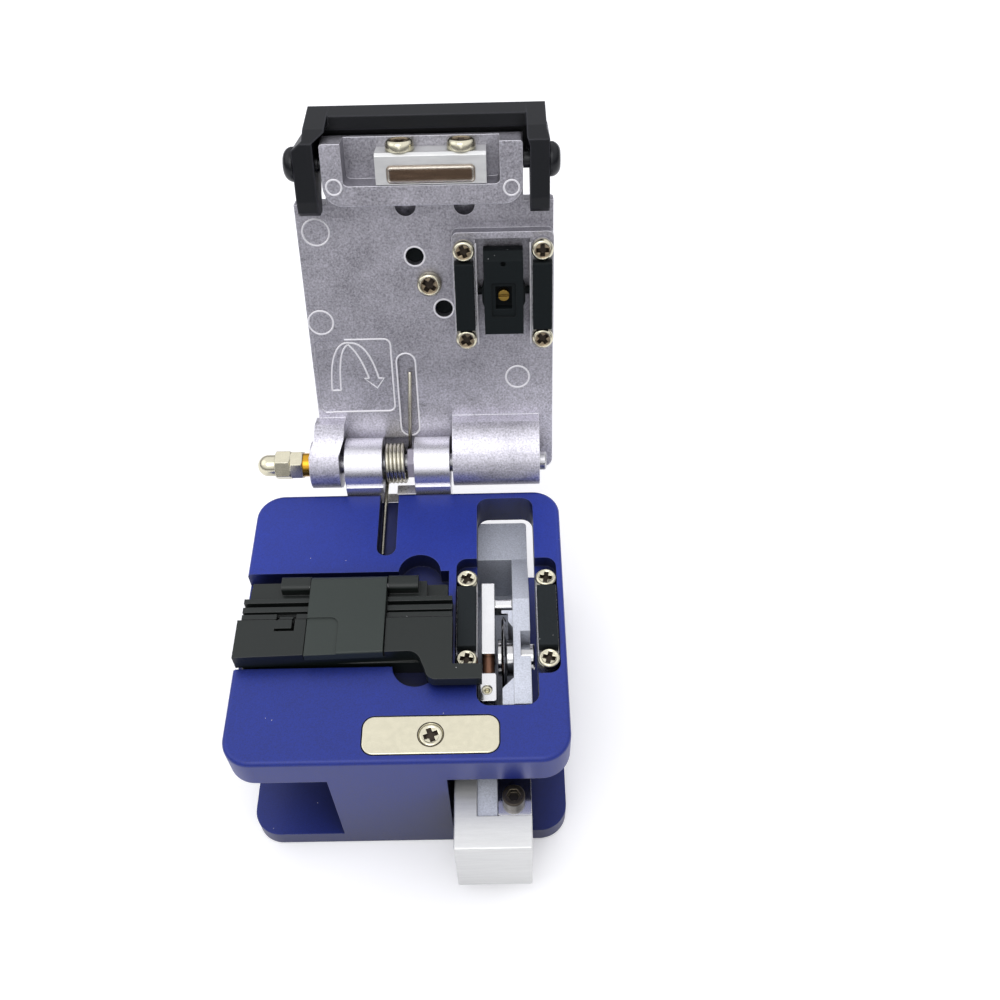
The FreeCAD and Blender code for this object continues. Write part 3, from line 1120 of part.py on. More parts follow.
def holder_flap():
    """Hinged clamp of the fibre holder, with a thumb tab let into its front left corner."""
    under, hinge_side = flap_top - flap_t, flap_py + 0.5
    left, right = hold_edge(flap_x0) - flap_lip, hold_edge(flap_x1) - flap_lip
    sheet = plan_profile([(flap_x0, left), (flap_x1, right), (flap_x1, hinge_side),
                          (flap_x0, hinge_side)], under, flap_top)
    barrel = x_rod(flap_x0, flap_x1, flap_py, flap_pz, flap_top - flap_pz)
    body = fillet(one([sheet, barrel]), 0.4,
                  lambda e: level(flap_top)(e) and e.BoundBox.YMax < left + 1.5)
    tab = plate(flap_x0 - 1, flap_x0 + 6.0, hold_y0 - 2, hold_y0 + 7.6, flap_top - 0.3,
                flap_top + 1, 1.6)
    bore = x_rod(flap_x0 - 1, flap_x1 + 1, flap_py, flap_pz, flap_pin_d / 2 + RUN_FIT)
    return body.cut(tab).cut(bore)


# ---------------------------------------------------------------- export
def main():
    os.makedirs("parts", exist_ok=True)
    spring = torsion_spring()
    fixed = {
        "body_frame": body_frame(), "hinge_block": hinge_block(),
        "hinge_block_screws": hinge_screws(), "hinge_shaft": hinge_shaft(),
        "brass_bush": brass_bush(), "lock_nut": lock_nut(), "acorn_nut": acorn_nut(),
        "spring_spacer": spring_spacer(), "torsion_spring": spring,
        "strike_plate": strike_plate(), "strike_plate_screw": strike_screw(),
        "lower_seat_left": clamp_seat(clamp_left_x), "lower_seat_right": clamp_seat(clamp_right_x),
        "lower_pad_left": lower_pad(clamp_left_x), "lower_pad_right": lower_pad(clamp_right_x),
        "lower_clamp_screws": lower_clamp_screws(),
        "slide_rail": slide_rail(), "slide_rail_screws": rail_screws(),
        "bearing_block": bearing_block(), "carriage": carriage(), "blade": blade(),
        "blade_hub": blade_hub(), "blade_screw": blade_screw(), "blade_arm": blade_arm(),
        "arm_block": arm_block(), "arm_pin": arm_pin(), "height_screw": height_screw(),
        "knob": knob(), "stop_plate": stop_plate(), "stop_screw": stop_screw(),
        "fibre_holder": holder_base(), "flap_pin": flap_pin(), "holder_flap": holder_flap(),
    }
    on_lid = {
        "lid_shell": lid_shell(), "magnet_holder": magnet_holder(), "magnet": magnet(),
        "magnet_screws": magnet_screws(),
        "upper_seat_left": lid_clamp_seat(lid_clamp_left_x),
        "upper_seat_right": lid_clamp_seat(lid_clamp_right_x),
        "upper_pad_left": upper_pad(lid_clamp_left_x),
        "upper_pad_right": upper_pad(lid_clamp_right_x),
        "upper_clamp_screws": upper_clamp_screws(),
        "press_pad": press_pad(), "press_pad_screw": press_pad_screw(),
        "lever_pivot_screws": lever_pivot_screws(),
        "anvil": anvil(), "anvil_screw": anvil_screw(), "lever": lever(),
    }
    for name, shape in fixed.items():
        save(name, shape)
    for name, shape in on_lid.items():
        shape = Part.Compound(shape) if isinstance(shape, list) else shape
        save(name, opened(shape))


main()
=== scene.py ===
"""Looks of a hand-held fibre cleaver: finishes, small fasteners, spring wire and cast marks."""
import json
import math

import bmesh
import bpy
from mathutils import Matrix, Vector


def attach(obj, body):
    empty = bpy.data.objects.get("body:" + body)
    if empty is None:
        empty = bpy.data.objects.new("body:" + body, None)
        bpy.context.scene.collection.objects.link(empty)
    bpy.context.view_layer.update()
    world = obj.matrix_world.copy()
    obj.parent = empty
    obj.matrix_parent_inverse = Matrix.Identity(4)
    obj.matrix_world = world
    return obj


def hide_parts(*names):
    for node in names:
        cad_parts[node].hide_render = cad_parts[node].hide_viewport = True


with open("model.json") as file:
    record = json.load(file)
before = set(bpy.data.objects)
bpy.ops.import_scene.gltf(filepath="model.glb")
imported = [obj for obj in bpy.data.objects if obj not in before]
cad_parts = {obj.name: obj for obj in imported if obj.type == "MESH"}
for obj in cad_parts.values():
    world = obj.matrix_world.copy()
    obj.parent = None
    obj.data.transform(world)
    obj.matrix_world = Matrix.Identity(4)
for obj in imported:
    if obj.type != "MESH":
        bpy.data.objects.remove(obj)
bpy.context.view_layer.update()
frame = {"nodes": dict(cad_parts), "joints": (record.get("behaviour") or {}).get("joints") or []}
NODES = frame["nodes"]
MM = 0.001
RAIL_RISE = 2.6 * MM      # how far the clamp rails stand proud of the lid's inner face
NOSE_RISE = 6.05 * MM     # the same for the nose block
LID_WIDTH = 49.29 * MM    # plate of the lid, without the knuckle that stands out past it
SHANK = 0.003             # length of the screws' shanks in their holes
CIRCLE_STEPS = 40

bl_info = {
    "name": "Fibre cleaver",
    "version": (1, 0, 0),
    "blender": (4, 5, 0),
    "location": "3D View > Sidebar > Cleaver",
    "description": "Finishes and fine pieces of a fibre cleaver, and the stage it stands on",
    "category": "Object",
}


# ---------------------------------------------------------------- places taken from the frame
def joint(name):
    return next(j for j in frame["joints"] if j["name"] == name)


def lid_to_world():
    """Turns closed-lid coordinates, in which the lid lies level, into the open rest pose."""
    hinge = joint("lid_hinge")
    place = Matrix.Translation(Vector(hinge["pos_m"]))
    angle = math.radians(max(hinge["range_deg"]))
    return place @ Matrix.Rotation(-angle, 4, "X") @ place.inverted()


def box_in(node, matrix=Matrix()):
    """Lowest and highest corner of a node, seen from the given coordinates."""
    back = matrix.inverted()
    points = [back @ v.co for v in NODES[node].data.vertices]
    low = Vector([min(p[i] for p in points) for i in range(3)])
    high = Vector([max(p[i] for p in points) for i in range(3)])
    return low, high


def middle(box):
    return (box[0] + box[1]) / 2


def lid_face(lid):
    """Height of the lid's inner face, in closed-lid coordinates."""
    return box_in("upper_seat_left", lid)[1].z + RAIL_RISE


# ---------------------------------------------------------------- settings
def length(name, text, default):
    return bpy.props.FloatProperty(name=name, description=text, default=default, min=0.0,
                                   unit="LENGTH", precision=5)


def colour(name, text, default):
    return bpy.props.FloatVectorProperty(name=name, description=text, default=default, size=3,
                                         min=0.0, max=1.0, subtype="COLOR")


class CleaverColours(bpy.types.PropertyGroup):
    """Colours of the finishes."""
    body: colour("Body", "Anodised body plates", (0.006, 0.027, 0.305))
    cast: colour("Cast metal", "Lid", (0.43, 0.42, 0.46))
    turned: colour("Turned metal", "Hinge knuckles", (0.83, 0.82, 0.87))
    slide: colour("Slide", "Machined carriage", (0.64, 0.67, 0.75))
    knob: colour("Push knob", "Brushed knob", (0.79, 0.795, 0.78))
    steel: colour("Steel", "Plain steel pieces", (0.62, 0.62, 0.64))
    chrome: colour("Chrome", "Polished clamp plate and pins", (0.90, 0.90, 0.90))
    nickel: colour("Screws", "Plated screws, nuts and strike plate", (0.75, 0.71, 0.54))
    brass: colour("Brass", "Bush beside the nuts", (0.78, 0.42, 0.04))
    bronze: colour("Bronze", "Pivot pin of the setting arm", (0.26, 0.13, 0.08))
    blade: colour("Blade", "Cutting disc", (0.13, 0.13, 0.14))
    holder: colour("Holder", "Moulded fibre holder", (0.006, 0.010, 0.008))
    flap: colour("Clamp flap", "Moulded clamp of the holder", (0.022, 0.031, 0.026))
    lever: colour("Lever", "Moulded pry lever", (0.004, 0.005, 0.007))
    rubber: colour("Rubber", "Clamp pads", (0.006, 0.009, 0.010))
    nylon: colour("Nylon", "Spacer beside the spring", (0.52, 0.49, 0.58))


class CleaverSizes(bpy.types.PropertyGroup):
    """Sizes of the fine pieces."""
    clamp_head: length("Clamp screw head", "Diameter of the clamp screw heads", 4.25 * MM)
    head_rise: length("Head height", "Height of the pan heads", 1.5 * MM)
    wire: length("Spring wire", "Diameter of the torsion spring's wire", 0.8 * MM)
    rim: length("Mark width", "Width of the raised lines on the casting", 0.40 * MM)
    soft_edge: length("Soft edge", "Radius that shading gives to sharp edges", 0.22 * MM)


class CleaverStage(bpy.types.PropertyGroup):
    """Camera and lamps."""
    lens: bpy.props.FloatProperty(name="Lens", description="Focal length in millimetres",
                                  default=39.0, min=10.0)
    distance: length("Lamp distance", "How far the soft lamps stand", 0.62)
    key: bpy.props.FloatProperty(name="Key lamp", description="Power of the large lamp",
                                 default=0.62, min=0.0, unit="POWER")
    front: bpy.props.FloatProperty(name="Front lamp", description="Power of the low front lamp",
                                   default=0.095, min=0.0, unit="POWER")
    room: bpy.props.FloatProperty(name="Room light", description="Brightness of the room",
                                  default=1.0, min=0.0)
    fill: bpy.props.FloatProperty(name="Fill lamp", description="Power of the side lamp",
                                  default=0.30, min=0.0, unit="POWER")


def colours():
    return bpy.context.scene.cleaver_colours


def sizes():
    return bpy.context.scene.cleaver_sizes


# ---------------------------------------------------------------- shader groups
def shader_group(name, inputs, outputs):
    """An empty shader group with its sockets, and its two end nodes."""
    tree = bpy.data.node_groups.new(name, "ShaderNodeTree")
    for label, kind, default in inputs:
        socket = tree.interface.new_socket(label, in_out="INPUT", socket_type=kind)
        socket.default_value = default
    for label, kind in outputs:
        tree.interface.new_socket(label, in_out="OUTPUT", socket_type=kind)
    return tree, tree.nodes.new("NodeGroupInput"), tree.nodes.new("NodeGroupOutput")


def add(tree, kind, **values):
    """A node with properties set by name."""
    node = tree.nodes.new(kind)
    for key, value in values.items():
        setattr(node, key, value)
    return node


def math_node(tree, operation, a, b=0.0, c=None):
    node = add(tree, "ShaderNodeMath", operation=operation)
    for i, value in enumerate((a, b) if c is None else (a, b, c)):
        if isinstance(value, bpy.types.NodeSocket):
            tree.links.new(value, node.inputs[i])
        else:
            node.inputs[i].default_value = value
    return node.outputs[0]


def grain_group():
    """Random grain of a cast or blasted surface: a tone from 0 to 1, and a height."""
    tree, ins, outs = shader_group(
        "Grain", [("Size", "NodeSocketFloat", 0.0003), ("Patch Size", "NodeSocketFloat", 0.006),
                  ("Patchiness", "NodeSocketFloat", 0.3)],
        [("Tone", "NodeSocketFloat"), ("Height", "NodeSocketFloat")])
    at = add(tree, "ShaderNodeTexCoord").outputs["Object"]
    fine = add(tree, "ShaderNodeTexNoise")
    broad = add(tree, "ShaderNodeTexNoise")
    for node, size, detail in ((fine, "Size", 3.0), (broad, "Patch Size", 2.0)):
        tree.links.new(at, node.inputs["Vector"])
        tree.links.new(math_node(tree, "DIVIDE", 1.0, ins.outputs[size]), node.inputs["Scale"])
        node.inputs["Detail"].default_value = detail
        node.inputs["Roughness"].default_value = 0.6
    sharp = math_node(tree, "SUBTRACT", fine.outputs["Fac"], 0.5)
    patch = math_node(tree, "SUBTRACT", broad.outputs["Fac"], 0.5)
    mixed = math_node(tree, "MULTIPLY_ADD", patch, ins.outputs["Patchiness"],
                      math_node(tree, "MULTIPLY_ADD", sharp, 1.6, 0.5))
    tone = add(tree, "ShaderNodeClamp")
    tree.links.new(mixed, tone.inputs["Value"])
    tree.links.new(tone.outputs[0], outs.inputs["Tone"])
    tree.links.new(fine.outputs["Fac"], outs.inputs["Height"])
    return tree


def brushed_group():
    """Fine lines drawn out along one axis, as a belt or an end mill leaves them."""
    tree, ins, outs = shader_group(
        "Brushed Lines", [("Stretch", "NodeSocketVector", (1.0, 1.0, 1.0)),
                          ("Line Size", "NodeSocketFloat", 0.0003)],
        [("Tone", "NodeSocketFloat"), ("Height", "NodeSocketFloat")])
    at = add(tree, "ShaderNodeTexCoord").outputs["Object"]
    drawn = add(tree, "ShaderNodeVectorMath", operation="MULTIPLY")
    tree.links.new(at, drawn.inputs[0])
    tree.links.new(ins.outputs["Stretch"], drawn.inputs[1])
    lines = add(tree, "ShaderNodeTexNoise")
    tree.links.new(drawn.outputs[0], lines.inputs["Vector"])
    tree.links.new(math_node(tree, "DIVIDE", 1.0, ins.outputs["Line Size"]),
                   lines.inputs["Scale"])
    lines.inputs["Detail"].default_value = 4.0
    lines.inputs["Roughness"].default_value = 0.7
    tone = add(tree, "ShaderNodeClamp")
    tree.links.new(math_node(tree, "MULTIPLY_ADD",
                             math_node(tree, "SUBTRACT", lines.outputs["Fac"], 0.5), 2.4, 0.5),
                   tone.inputs["Value"])
    tree.links.new(tone.outputs[0], outs.inputs["Tone"])
    tree.links.new(lines.outputs["Fac"], outs.inputs["Height"])
    return tree


def edge_group():
    """Rounded shading on sharp edges, with a mask that is 1 on the edge, where finishes paint
    highlights.
    """
    tree, ins, outs = shader_group(
        "Soft Edges", [("Radius", "NodeSocketFloat", 0.0002), ("Gain", "NodeSocketFloat", 6.0)],
        [("Normal", "NodeSocketVector"), ("Edge", "NodeSocketFloat")])
    bevel = add(tree, "ShaderNodeBevel", samples=6)
    tree.links.new(ins.outputs["Radius"], bevel.inputs["Radius"])
    flat = add(tree, "ShaderNodeNewGeometry")
    dot = add(tree, "ShaderNodeVectorMath", operation="DOT_PRODUCT")
    tree.links.new(bevel.outputs[0], dot.inputs[0])
    tree.links.new(flat.outputs["Normal"], dot.inputs[1])
    away = math_node(tree, "SUBTRACT", 1.0, dot.outputs["Value"])
    mask = add(tree, "ShaderNodeClamp")
    tree.links.new(math_node(tree, "MULTIPLY", away, ins.outputs["Gain"]), mask.inputs["Value"])
    tree.links.new(bevel.outputs[0], outs.inputs["Normal"])
    tree.links.new(mask.outputs[0], outs.inputs["Edge"])
    return tree


def crevice_shade_group():
    """Mask of how enclosed a place is, used for painted shade: 1 deep in a slot, 0 on an open
    face.
    """
    tree, ins, outs = shader_group(
        "Crevice Shade", [("Distance", "NodeSocketFloat", 0.016), ("Gain", "NodeSocketFloat", 1.4)],
        [("Mask", "NodeSocketFloat")])
    open_sky = add(tree, "ShaderNodeAmbientOcclusion", samples=6)
    tree.links.new(ins.outputs["Distance"], open_sky.inputs["Distance"])
    # a face with only a distant neighbour gets no painted shade
    enclosed = math_node(tree, "SUBTRACT", 0.86, open_sky.outputs["AO"])
    mask = add(tree, "ShaderNodeClamp")
    tree.links.new(math_node(tree, "MULTIPLY", enclosed, ins.outputs["Gain"]),
                   mask.inputs["Value"])
    tree.links.new(mask.outputs[0], outs.inputs["Mask"])
    return tree


def dust_group():
    """Sparse pale specks that settle on faces that look upwards."""
    tree, ins, outs = shader_group(
        "Dust", [("Speck Size", "NodeSocketFloat", 0.0012), ("Amount", "NodeSocketFloat", 0.5)],
        [("Mask", "NodeSocketFloat")])
    at = add(tree, "ShaderNodeTexCoord").outputs["Object"]
    cells = add(tree, "ShaderNodeTexVoronoi")
    tree.links.new(at, cells.inputs["Vector"])
    tree.links.new(math_node(tree, "DIVIDE", 1.0, ins.outputs["Speck Size"]),
                   cells.inputs["Scale"])
    near = math_node(tree, "LESS_THAN", cells.outputs["Distance"], 0.07)
    split = add(tree, "ShaderNodeSeparateXYZ")
    tree.links.new(add(tree, "ShaderNodeNewGeometry").outputs["Normal"], split.inputs[0])
    up = math_node(tree, "GREATER_THAN", split.outputs["Z"], 0.5)
    shade = add(tree, "ShaderNodeSeparateXYZ")
    tree.links.new(cells.outputs["Color"], shade.inputs[0])
    few = math_node(tree, "LESS_THAN", shade.outputs["X"], ins.outputs["Amount"])
    tree.links.new(math_node(tree, "MULTIPLY", math_node(tree, "MULTIPLY", near, up), few),
                   outs.inputs["Mask"])
    return tree


def shared(name, maker):
    return bpy.data.node_groups.get(name) or maker()


def placed(tree, name, maker, **values):
    """A shared group placed in a material, its named inputs set."""
    node = tree.nodes.new("ShaderNodeGroup")
    node.node_tree = shared(name, maker)
    for key, value in values.items():
        node.inputs[key.replace("_", " ").title()].default_value = value
    return node


def mix(tree, factor, a, b):
    """A colour between a and b; each is a colour or a socket."""
    node = add(tree, "ShaderNodeMix", data_type="RGBA")
    for socket, value in ((node.inputs["Factor"], factor), (node.inputs[6], a),
                          (node.inputs[7], b)):
        if isinstance(value, bpy.types.NodeSocket):
            tree.links.new(value, socket)
        elif isinstance(value, (int, float)):
            socket.default_value = value
        else:
            socket.default_value = (*value, 1.0)
    return node.outputs[2]


def painted_light_ramp(tree, tint, axis, start, end, gain):
    """The tint times a gain that sets in from start to end along one axis of the part: painted
    light and shade.
    """
    at = add(tree, "ShaderNodeSeparateXYZ")
    tree.links.new(add(tree, "ShaderNodeTexCoord").outputs["Object"], at.inputs[0])
    ramp = add(tree, "ShaderNodeMapRange", interpolation_type="SMOOTHSTEP")
    ramp.inputs["From Min"].default_value = start
    ramp.inputs["From Max"].default_value = end
    ramp.inputs["To Min"].default_value = 1.0
    ramp.inputs["To Max"].default_value = gain
    tree.links.new(at.outputs[axis], ramp.inputs["Value"])
    scaled = add(tree, "ShaderNodeVectorMath", operation="SCALE")
    tree.links.new(tint, scaled.inputs[0])
    tree.links.new(ramp.outputs[0], scaled.inputs["Scale"])
    return scaled.outputs[0]


def finish_material(name, base, spread, roughness, rough_spread=0.1, metallic=0.0, grain=0.0003,
                    stretch=None, bump=0.1, edge=0.3, edge_gain=5.0, patch=0.3, dust=0.0,
                    coat=0.0, edge_highlight_colour=None, soft=1.0, shine=0.5, crevice_shade=0.5,
                    reach=0.016, depth=1.4, light_ramp=None):
    """One finish: grain or brushed lines in tone, roughness and height, with softened edges,
    painted edge highlights, painted shade in recesses and an optional painted light ramp.
    """
    material = bpy.data.materials.get(name)
    if material:
        return material
    material = bpy.data.materials.new(name)
    material.use_nodes = True
    tree = material.node_tree
    shader = tree.nodes["Principled BSDF"]
    if stretch:
        texture = placed(tree, "Brushed Lines", brushed_group, stretch=stretch, line_size=grain)
    else:
        texture = placed(tree, "Grain", grain_group, size=grain, patchiness=patch)
    edges = placed(tree, "Soft Edges", edge_group, radius=sizes().soft_edge * soft,
                   gain=edge_gain)
    dark = [c * (1 - spread) for c in base]
    light = [min(1.0, c * (1 + spread)) for c in base]
    tint = mix(tree, texture.outputs["Tone"], dark, light)
    # painted highlight: sharp edges are lightened towards this colour
    edge_highlight = edge_highlight_colour or [min(1.0, c * 1.3 + 0.02) for c in base]
    edge_highlight_mask = math_node(tree, "MULTIPLY", edges.outputs["Edge"], edge)
    tint = mix(tree, edge_highlight_mask, tint, edge_highlight)
    # painted light and shade: a gain ramp along one axis of the part
    if light_ramp:
        tint = painted_light_ramp(tree, tint, *light_ramp)
    # painted shade: the tint darkens towards 0.12 times the base colour in slots and recesses
    if crevice_shade:
        enclosed = placed(tree, "Crevice Shade", crevice_shade_group, distance=reach, gain=depth)
        tint = mix(tree, math_node(tree, "MULTIPLY", enclosed.outputs["Mask"], crevice_shade), tint,
                   [c * 0.12 for c in base])
    if dust:
        specks = placed(tree, "Dust", dust_group, amount=dust)
        tint = mix(tree, specks.outputs["Mask"], tint, (0.5, 0.5, 0.5))
    tree.links.new(tint, shader.inputs["Base Color"])
    tree.links.new(math_node(tree, "MULTIPLY_ADD", texture.outputs["Tone"], rough_spread,
                             roughness - rough_spread / 2), shader.inputs["Roughness"])
    shader.inputs["Metallic"].default_value = metallic
    shader.inputs["Specular IOR Level"].default_value = shine
    shader.inputs["Coat Weight"].default_value = coat
    shader.inputs["Coat Roughness"].default_value = 0.25
    relief = tree.nodes.new("ShaderNodeBump")
    relief.inputs["Strength"].default_value = bump
    relief.inputs["Distance"].default_value = 0.00005
    tree.links.new(texture.outputs["Height"], relief.inputs["Height"])
    tree.links.new(edges.outputs["Normal"], relief.inputs["Normal"])
    tree.links.new(relief.outputs[0], shader.inputs["Normal"])
    return material


def finishes():
    """The finishes by name."""
    c = colours()
    plated = dict(metallic=1.0, spread=0.06, rough_spread=0.08, grain=0.0015, bump=0.03,
                  edge=0.5, edge_highlight_colour=(0.95, 0.93, 0.84), crevice_shade=0.4)
    plastic = dict(crevice_shade=0.6, spread=0.18, rough_spread=0.12, grain=0.00012, bump=0.25)
    return {
        "anodised": finish_material("Blue anodising", c.body, 0.36, 0.42, 0.10, 0.15,
                                    grain=0.00024, bump=0.10, edge=0.35, patch=0.3, dust=0.02,
                                    coat=0.15, crevice_shade=1.0, reach=0.045, depth=2.0,
                                    edge_highlight_colour=(0.16, 0.20, 0.55),
                                    # painted shade: the body darkens to 0.76 towards the front
                                    light_ramp=("Y", 0.022, -0.030, 0.76)),
        "cast": finish_material("Cast metal", c.cast, 0.55, 0.42, 0.24, 0.9, grain=0.00038,
                                bump=0.6, edge=0.9, edge_gain=8.0, patch=0.5, crevice_shade=0.25,
                                edge_highlight_colour=(0.86, 0.86, 0.90),
                                # painted reflection: the lid lightens up to 1.6 times towards the
                                # hinge
                                light_ramp=("Z", 0.061, 0.045, 1.6)),
        # painted highlight: the raised lines are much lighter than the cast metal they stand on
        "rim": finish_material("Raised cast lines with painted highlight", (0.93, 0.92, 0.95), 0.06, 0.45, grain=0.00042,
                               bump=0.1, edge=0.0, crevice_shade=0.0),
        "turned": finish_material("Turned cast metal", c.turned, 0.15, 0.30, 0.14, 0.9,
                                  grain=0.00035, bump=0.3, edge=0.6, crevice_shade=0.15,
                                  edge_highlight_colour=(0.90, 0.90, 0.94)),
        "slide": finish_material("Blasted slide", c.slide, 0.26, 0.40, 0.12, 0.25, crevice_shade=0.05,
                                 grain=0.0003,
                                 bump=0.3, edge=0.6, edge_highlight_colour=(0.9, 0.92, 0.95)),
        "knob": finish_material("Brushed knob", c.knob, 0.06, 0.36, 0.12, 0.70, grain=0.0009,
                                stretch=(0.12, 1.0, 1.0), bump=0.3, edge=0.8,
                                edge_highlight_colour=(0.98, 0.98, 0.98)),
        "steel": finish_material("Ground steel", c.steel, 0.10, 0.28, 0.10, 1.0, grain=0.0012,
                                 stretch=(0.1, 1.0, 1.0), bump=0.2, edge=0.6,
                                 edge_highlight_colour=(0.92, 0.92, 0.94)),
        "chrome": finish_material("Chrome", c.chrome, 0.04, 0.14, 0.06, 1.0, grain=0.002,
                                  bump=0.02, edge=0.4),
        "nickel": finish_material("Nickel plating", c.nickel, roughness=0.20, **plated),
        "oxide": finish_material("Dark oxide", (0.05, 0.042, 0.035), 0.2, 0.30, metallic=0.8,
                                 edge=0.6, edge_highlight_colour=(0.45, 0.38, 0.24)),
        "gilt": finish_material("Dull gilt screw", (0.30, 0.19, 0.04), 0.2, 0.38, metallic=0.9),
        # painted dark reflection in the dish of the screw heads
        "recess": finish_material("Screw dish painted reflection", (0.30, 0.24, 0.16), 0.2, 0.30, metallic=1.0,
                                  edge=0.0),
        # painted shade in the cross recess of the screw heads
        "pit": finish_material("Screw recess painted shade", (0.05, 0.035, 0.022), 0.2, 0.40, metallic=0.5,
                               edge=0.0),
        "brass": finish_material("Brass", c.brass, roughness=0.22, metallic=1.0, spread=0.08,
                                 grain=0.0012, bump=0.05, edge=0.4,
                                 edge_highlight_colour=(0.95, 0.75, 0.35)),
        "bronze": finish_material("Bronze pin", c.bronze, 0.15, 0.35, metallic=0.8),
        "blade": finish_material("Polished carbide", c.blade, 0.10, 0.12, 0.05, 1.0,
                                 grain=0.002, bump=0.02, edge=0.8,
                                 edge_highlight_colour=(0.6, 0.6, 0.62)),
        "magnet": finish_material("Magnet plating", (0.18, 0.12, 0.08), roughness=0.24,
                                  metallic=1.0, spread=0.15, rough_spread=0.1, grain=0.0012,
                                  stretch=(0.1, 1.0, 1.0), bump=0.1, edge=1.0, edge_gain=9.0,
                                  edge_highlight_colour=(1.0, 0.98, 0.88), soft=3.4, crevice_shade=0.0),
        "holder": finish_material("Holder plastic", c.holder, roughness=0.42, edge=0.45,
                                  edge_highlight_colour=(0.10, 0.10, 0.10), dust=0.1, **plastic),
        "flap": finish_material("Flap plastic", c.flap, roughness=0.46, edge=0.3, **plastic),
        "lever": finish_material("Lever plastic", c.lever, roughness=0.40, edge=0.4,
                                 edge_highlight_colour=(0.10, 0.10, 0.12), edge_gain=9.0, soft=2.2,
                                 shine=0.3, **plastic),
        "black": finish_material("Black screws", c.lever, 0.15, 0.30, metallic=0.3, bump=0.1),
        "rubber": finish_material("Clamp rubber", c.rubber, 0.2, 0.62, bump=0.3, dust=0.15,
                                  edge=0.3, edge_highlight_colour=(0.04, 0.045, 0.045), shine=0.15),
        "pad": finish_material("Dusty pad rubber", (0.016, 0.020, 0.022), 0.2, 0.62, bump=0.3,
                               dust=0.2, edge=0.3, edge_highlight_colour=(0.05, 0.055, 0.055),
                               shine=0.15),
        "nylon": finish_material("Nylon", c.nylon, 0.05, 0.45, bump=0.1, edge=0.2),
        "spring": finish_material("Spring wire", (0.66, 0.63, 0.52), roughness=0.22,
                                  metallic=1.0, spread=0.1, grain=0.001, bump=0.05, edge=0.2),
    }


NODE_FINISH = {
    "anodised": ["body_frame"],
    "cast": ["lid_shell"],
    "turned": ["hinge_block"],
    "slide": ["carriage"],
    "knob": ["knob", "magnet_holder"],
    "steel": ["slide_rail", "bearing_block", "lower_seat_left",
              "lower_seat_right", "upper_seat_left", "upper_seat_right", "hinge_shaft"],
    "chrome": ["stop_plate", "blade_arm", "arm_block", "flap_pin", "blade_screw", "blade_hub"],
    "nickel": ["hinge_block_screws", "lock_nut", "acorn_nut", "strike_plate",
               "strike_plate_screw", "lower_clamp_screws", "slide_rail_screws", "height_screw",
               "magnet_screws", "upper_clamp_screws", "press_pad_screw"],
    "brass": ["brass_bush"],
    "gilt": ["anvil_screw"],
    "oxide": ["stop_screw"],
    "bronze": ["arm_pin"],
    "blade": ["blade"],
    "magnet": ["magnet"],
    "holder": ["fibre_holder"],
    "flap": ["holder_flap"],
    "lever": ["lever"],
    "black": ["lever_pivot_screws"],
    "rubber": ["upper_pad_left", "upper_pad_right", "anvil", "press_pad"],
    "pad": ["lower_pad_left", "lower_pad_right"],
    "nylon": ["spring_spacer"],
    "spring": ["torsion_spring"],
}


def paint(obj, material):
    if not obj.material_slots:
        obj.data.materials.append(material)
    for place in obj.material_slots:
        place.link = "OBJECT"
        place.material = material


# ---------------------------------------------------------------- geometry node trees
def geometry_group(name, inputs):
    """An empty geometry tree with its sockets, and its two end nodes."""
    tree = bpy.data.node_groups.new(name, "GeometryNodeTree")
    tree.interface.new_socket("Geometry", in_out="INPUT", socket_type="NodeSocketGeometry")
    for label, kind, default in inputs:
        socket = tree.interface.new_socket(label, in_out="INPUT", socket_type=kind)
        if default is not None:
            socket.default_value = default
    tree.interface.new_socket("Geometry", in_out="OUTPUT", socket_type="NodeSocketGeometry")
    return tree, tree.nodes.new("NodeGroupInput"), tree.nodes.new("NodeGroupOutput")


def close_tree(tree, geometry, ins, outs, part=None):
    """Ends a tree with smooth shading, real geometry and its material, on a part or on all."""
    real = add(tree, "GeometryNodeRealizeInstances")
    smooth = add(tree, "GeometryNodeSetShadeSmooth")
    paint_node = add(tree, "GeometryNodeSetMaterial")
    tree.links.new(geometry, real.inputs[0])
    tree.links.new(real.outputs[0], smooth.inputs[0])
    tree.links.new(smooth.outputs[0], paint_node.inputs["Geometry"])
    tree.links.new(ins.outputs["Material"], paint_node.inputs["Material"])
    if part:
        tree.links.new(part, paint_node.inputs["Selection"])
    tree.links.new(paint_node.outputs[0], outs.inputs[0])
    return tree


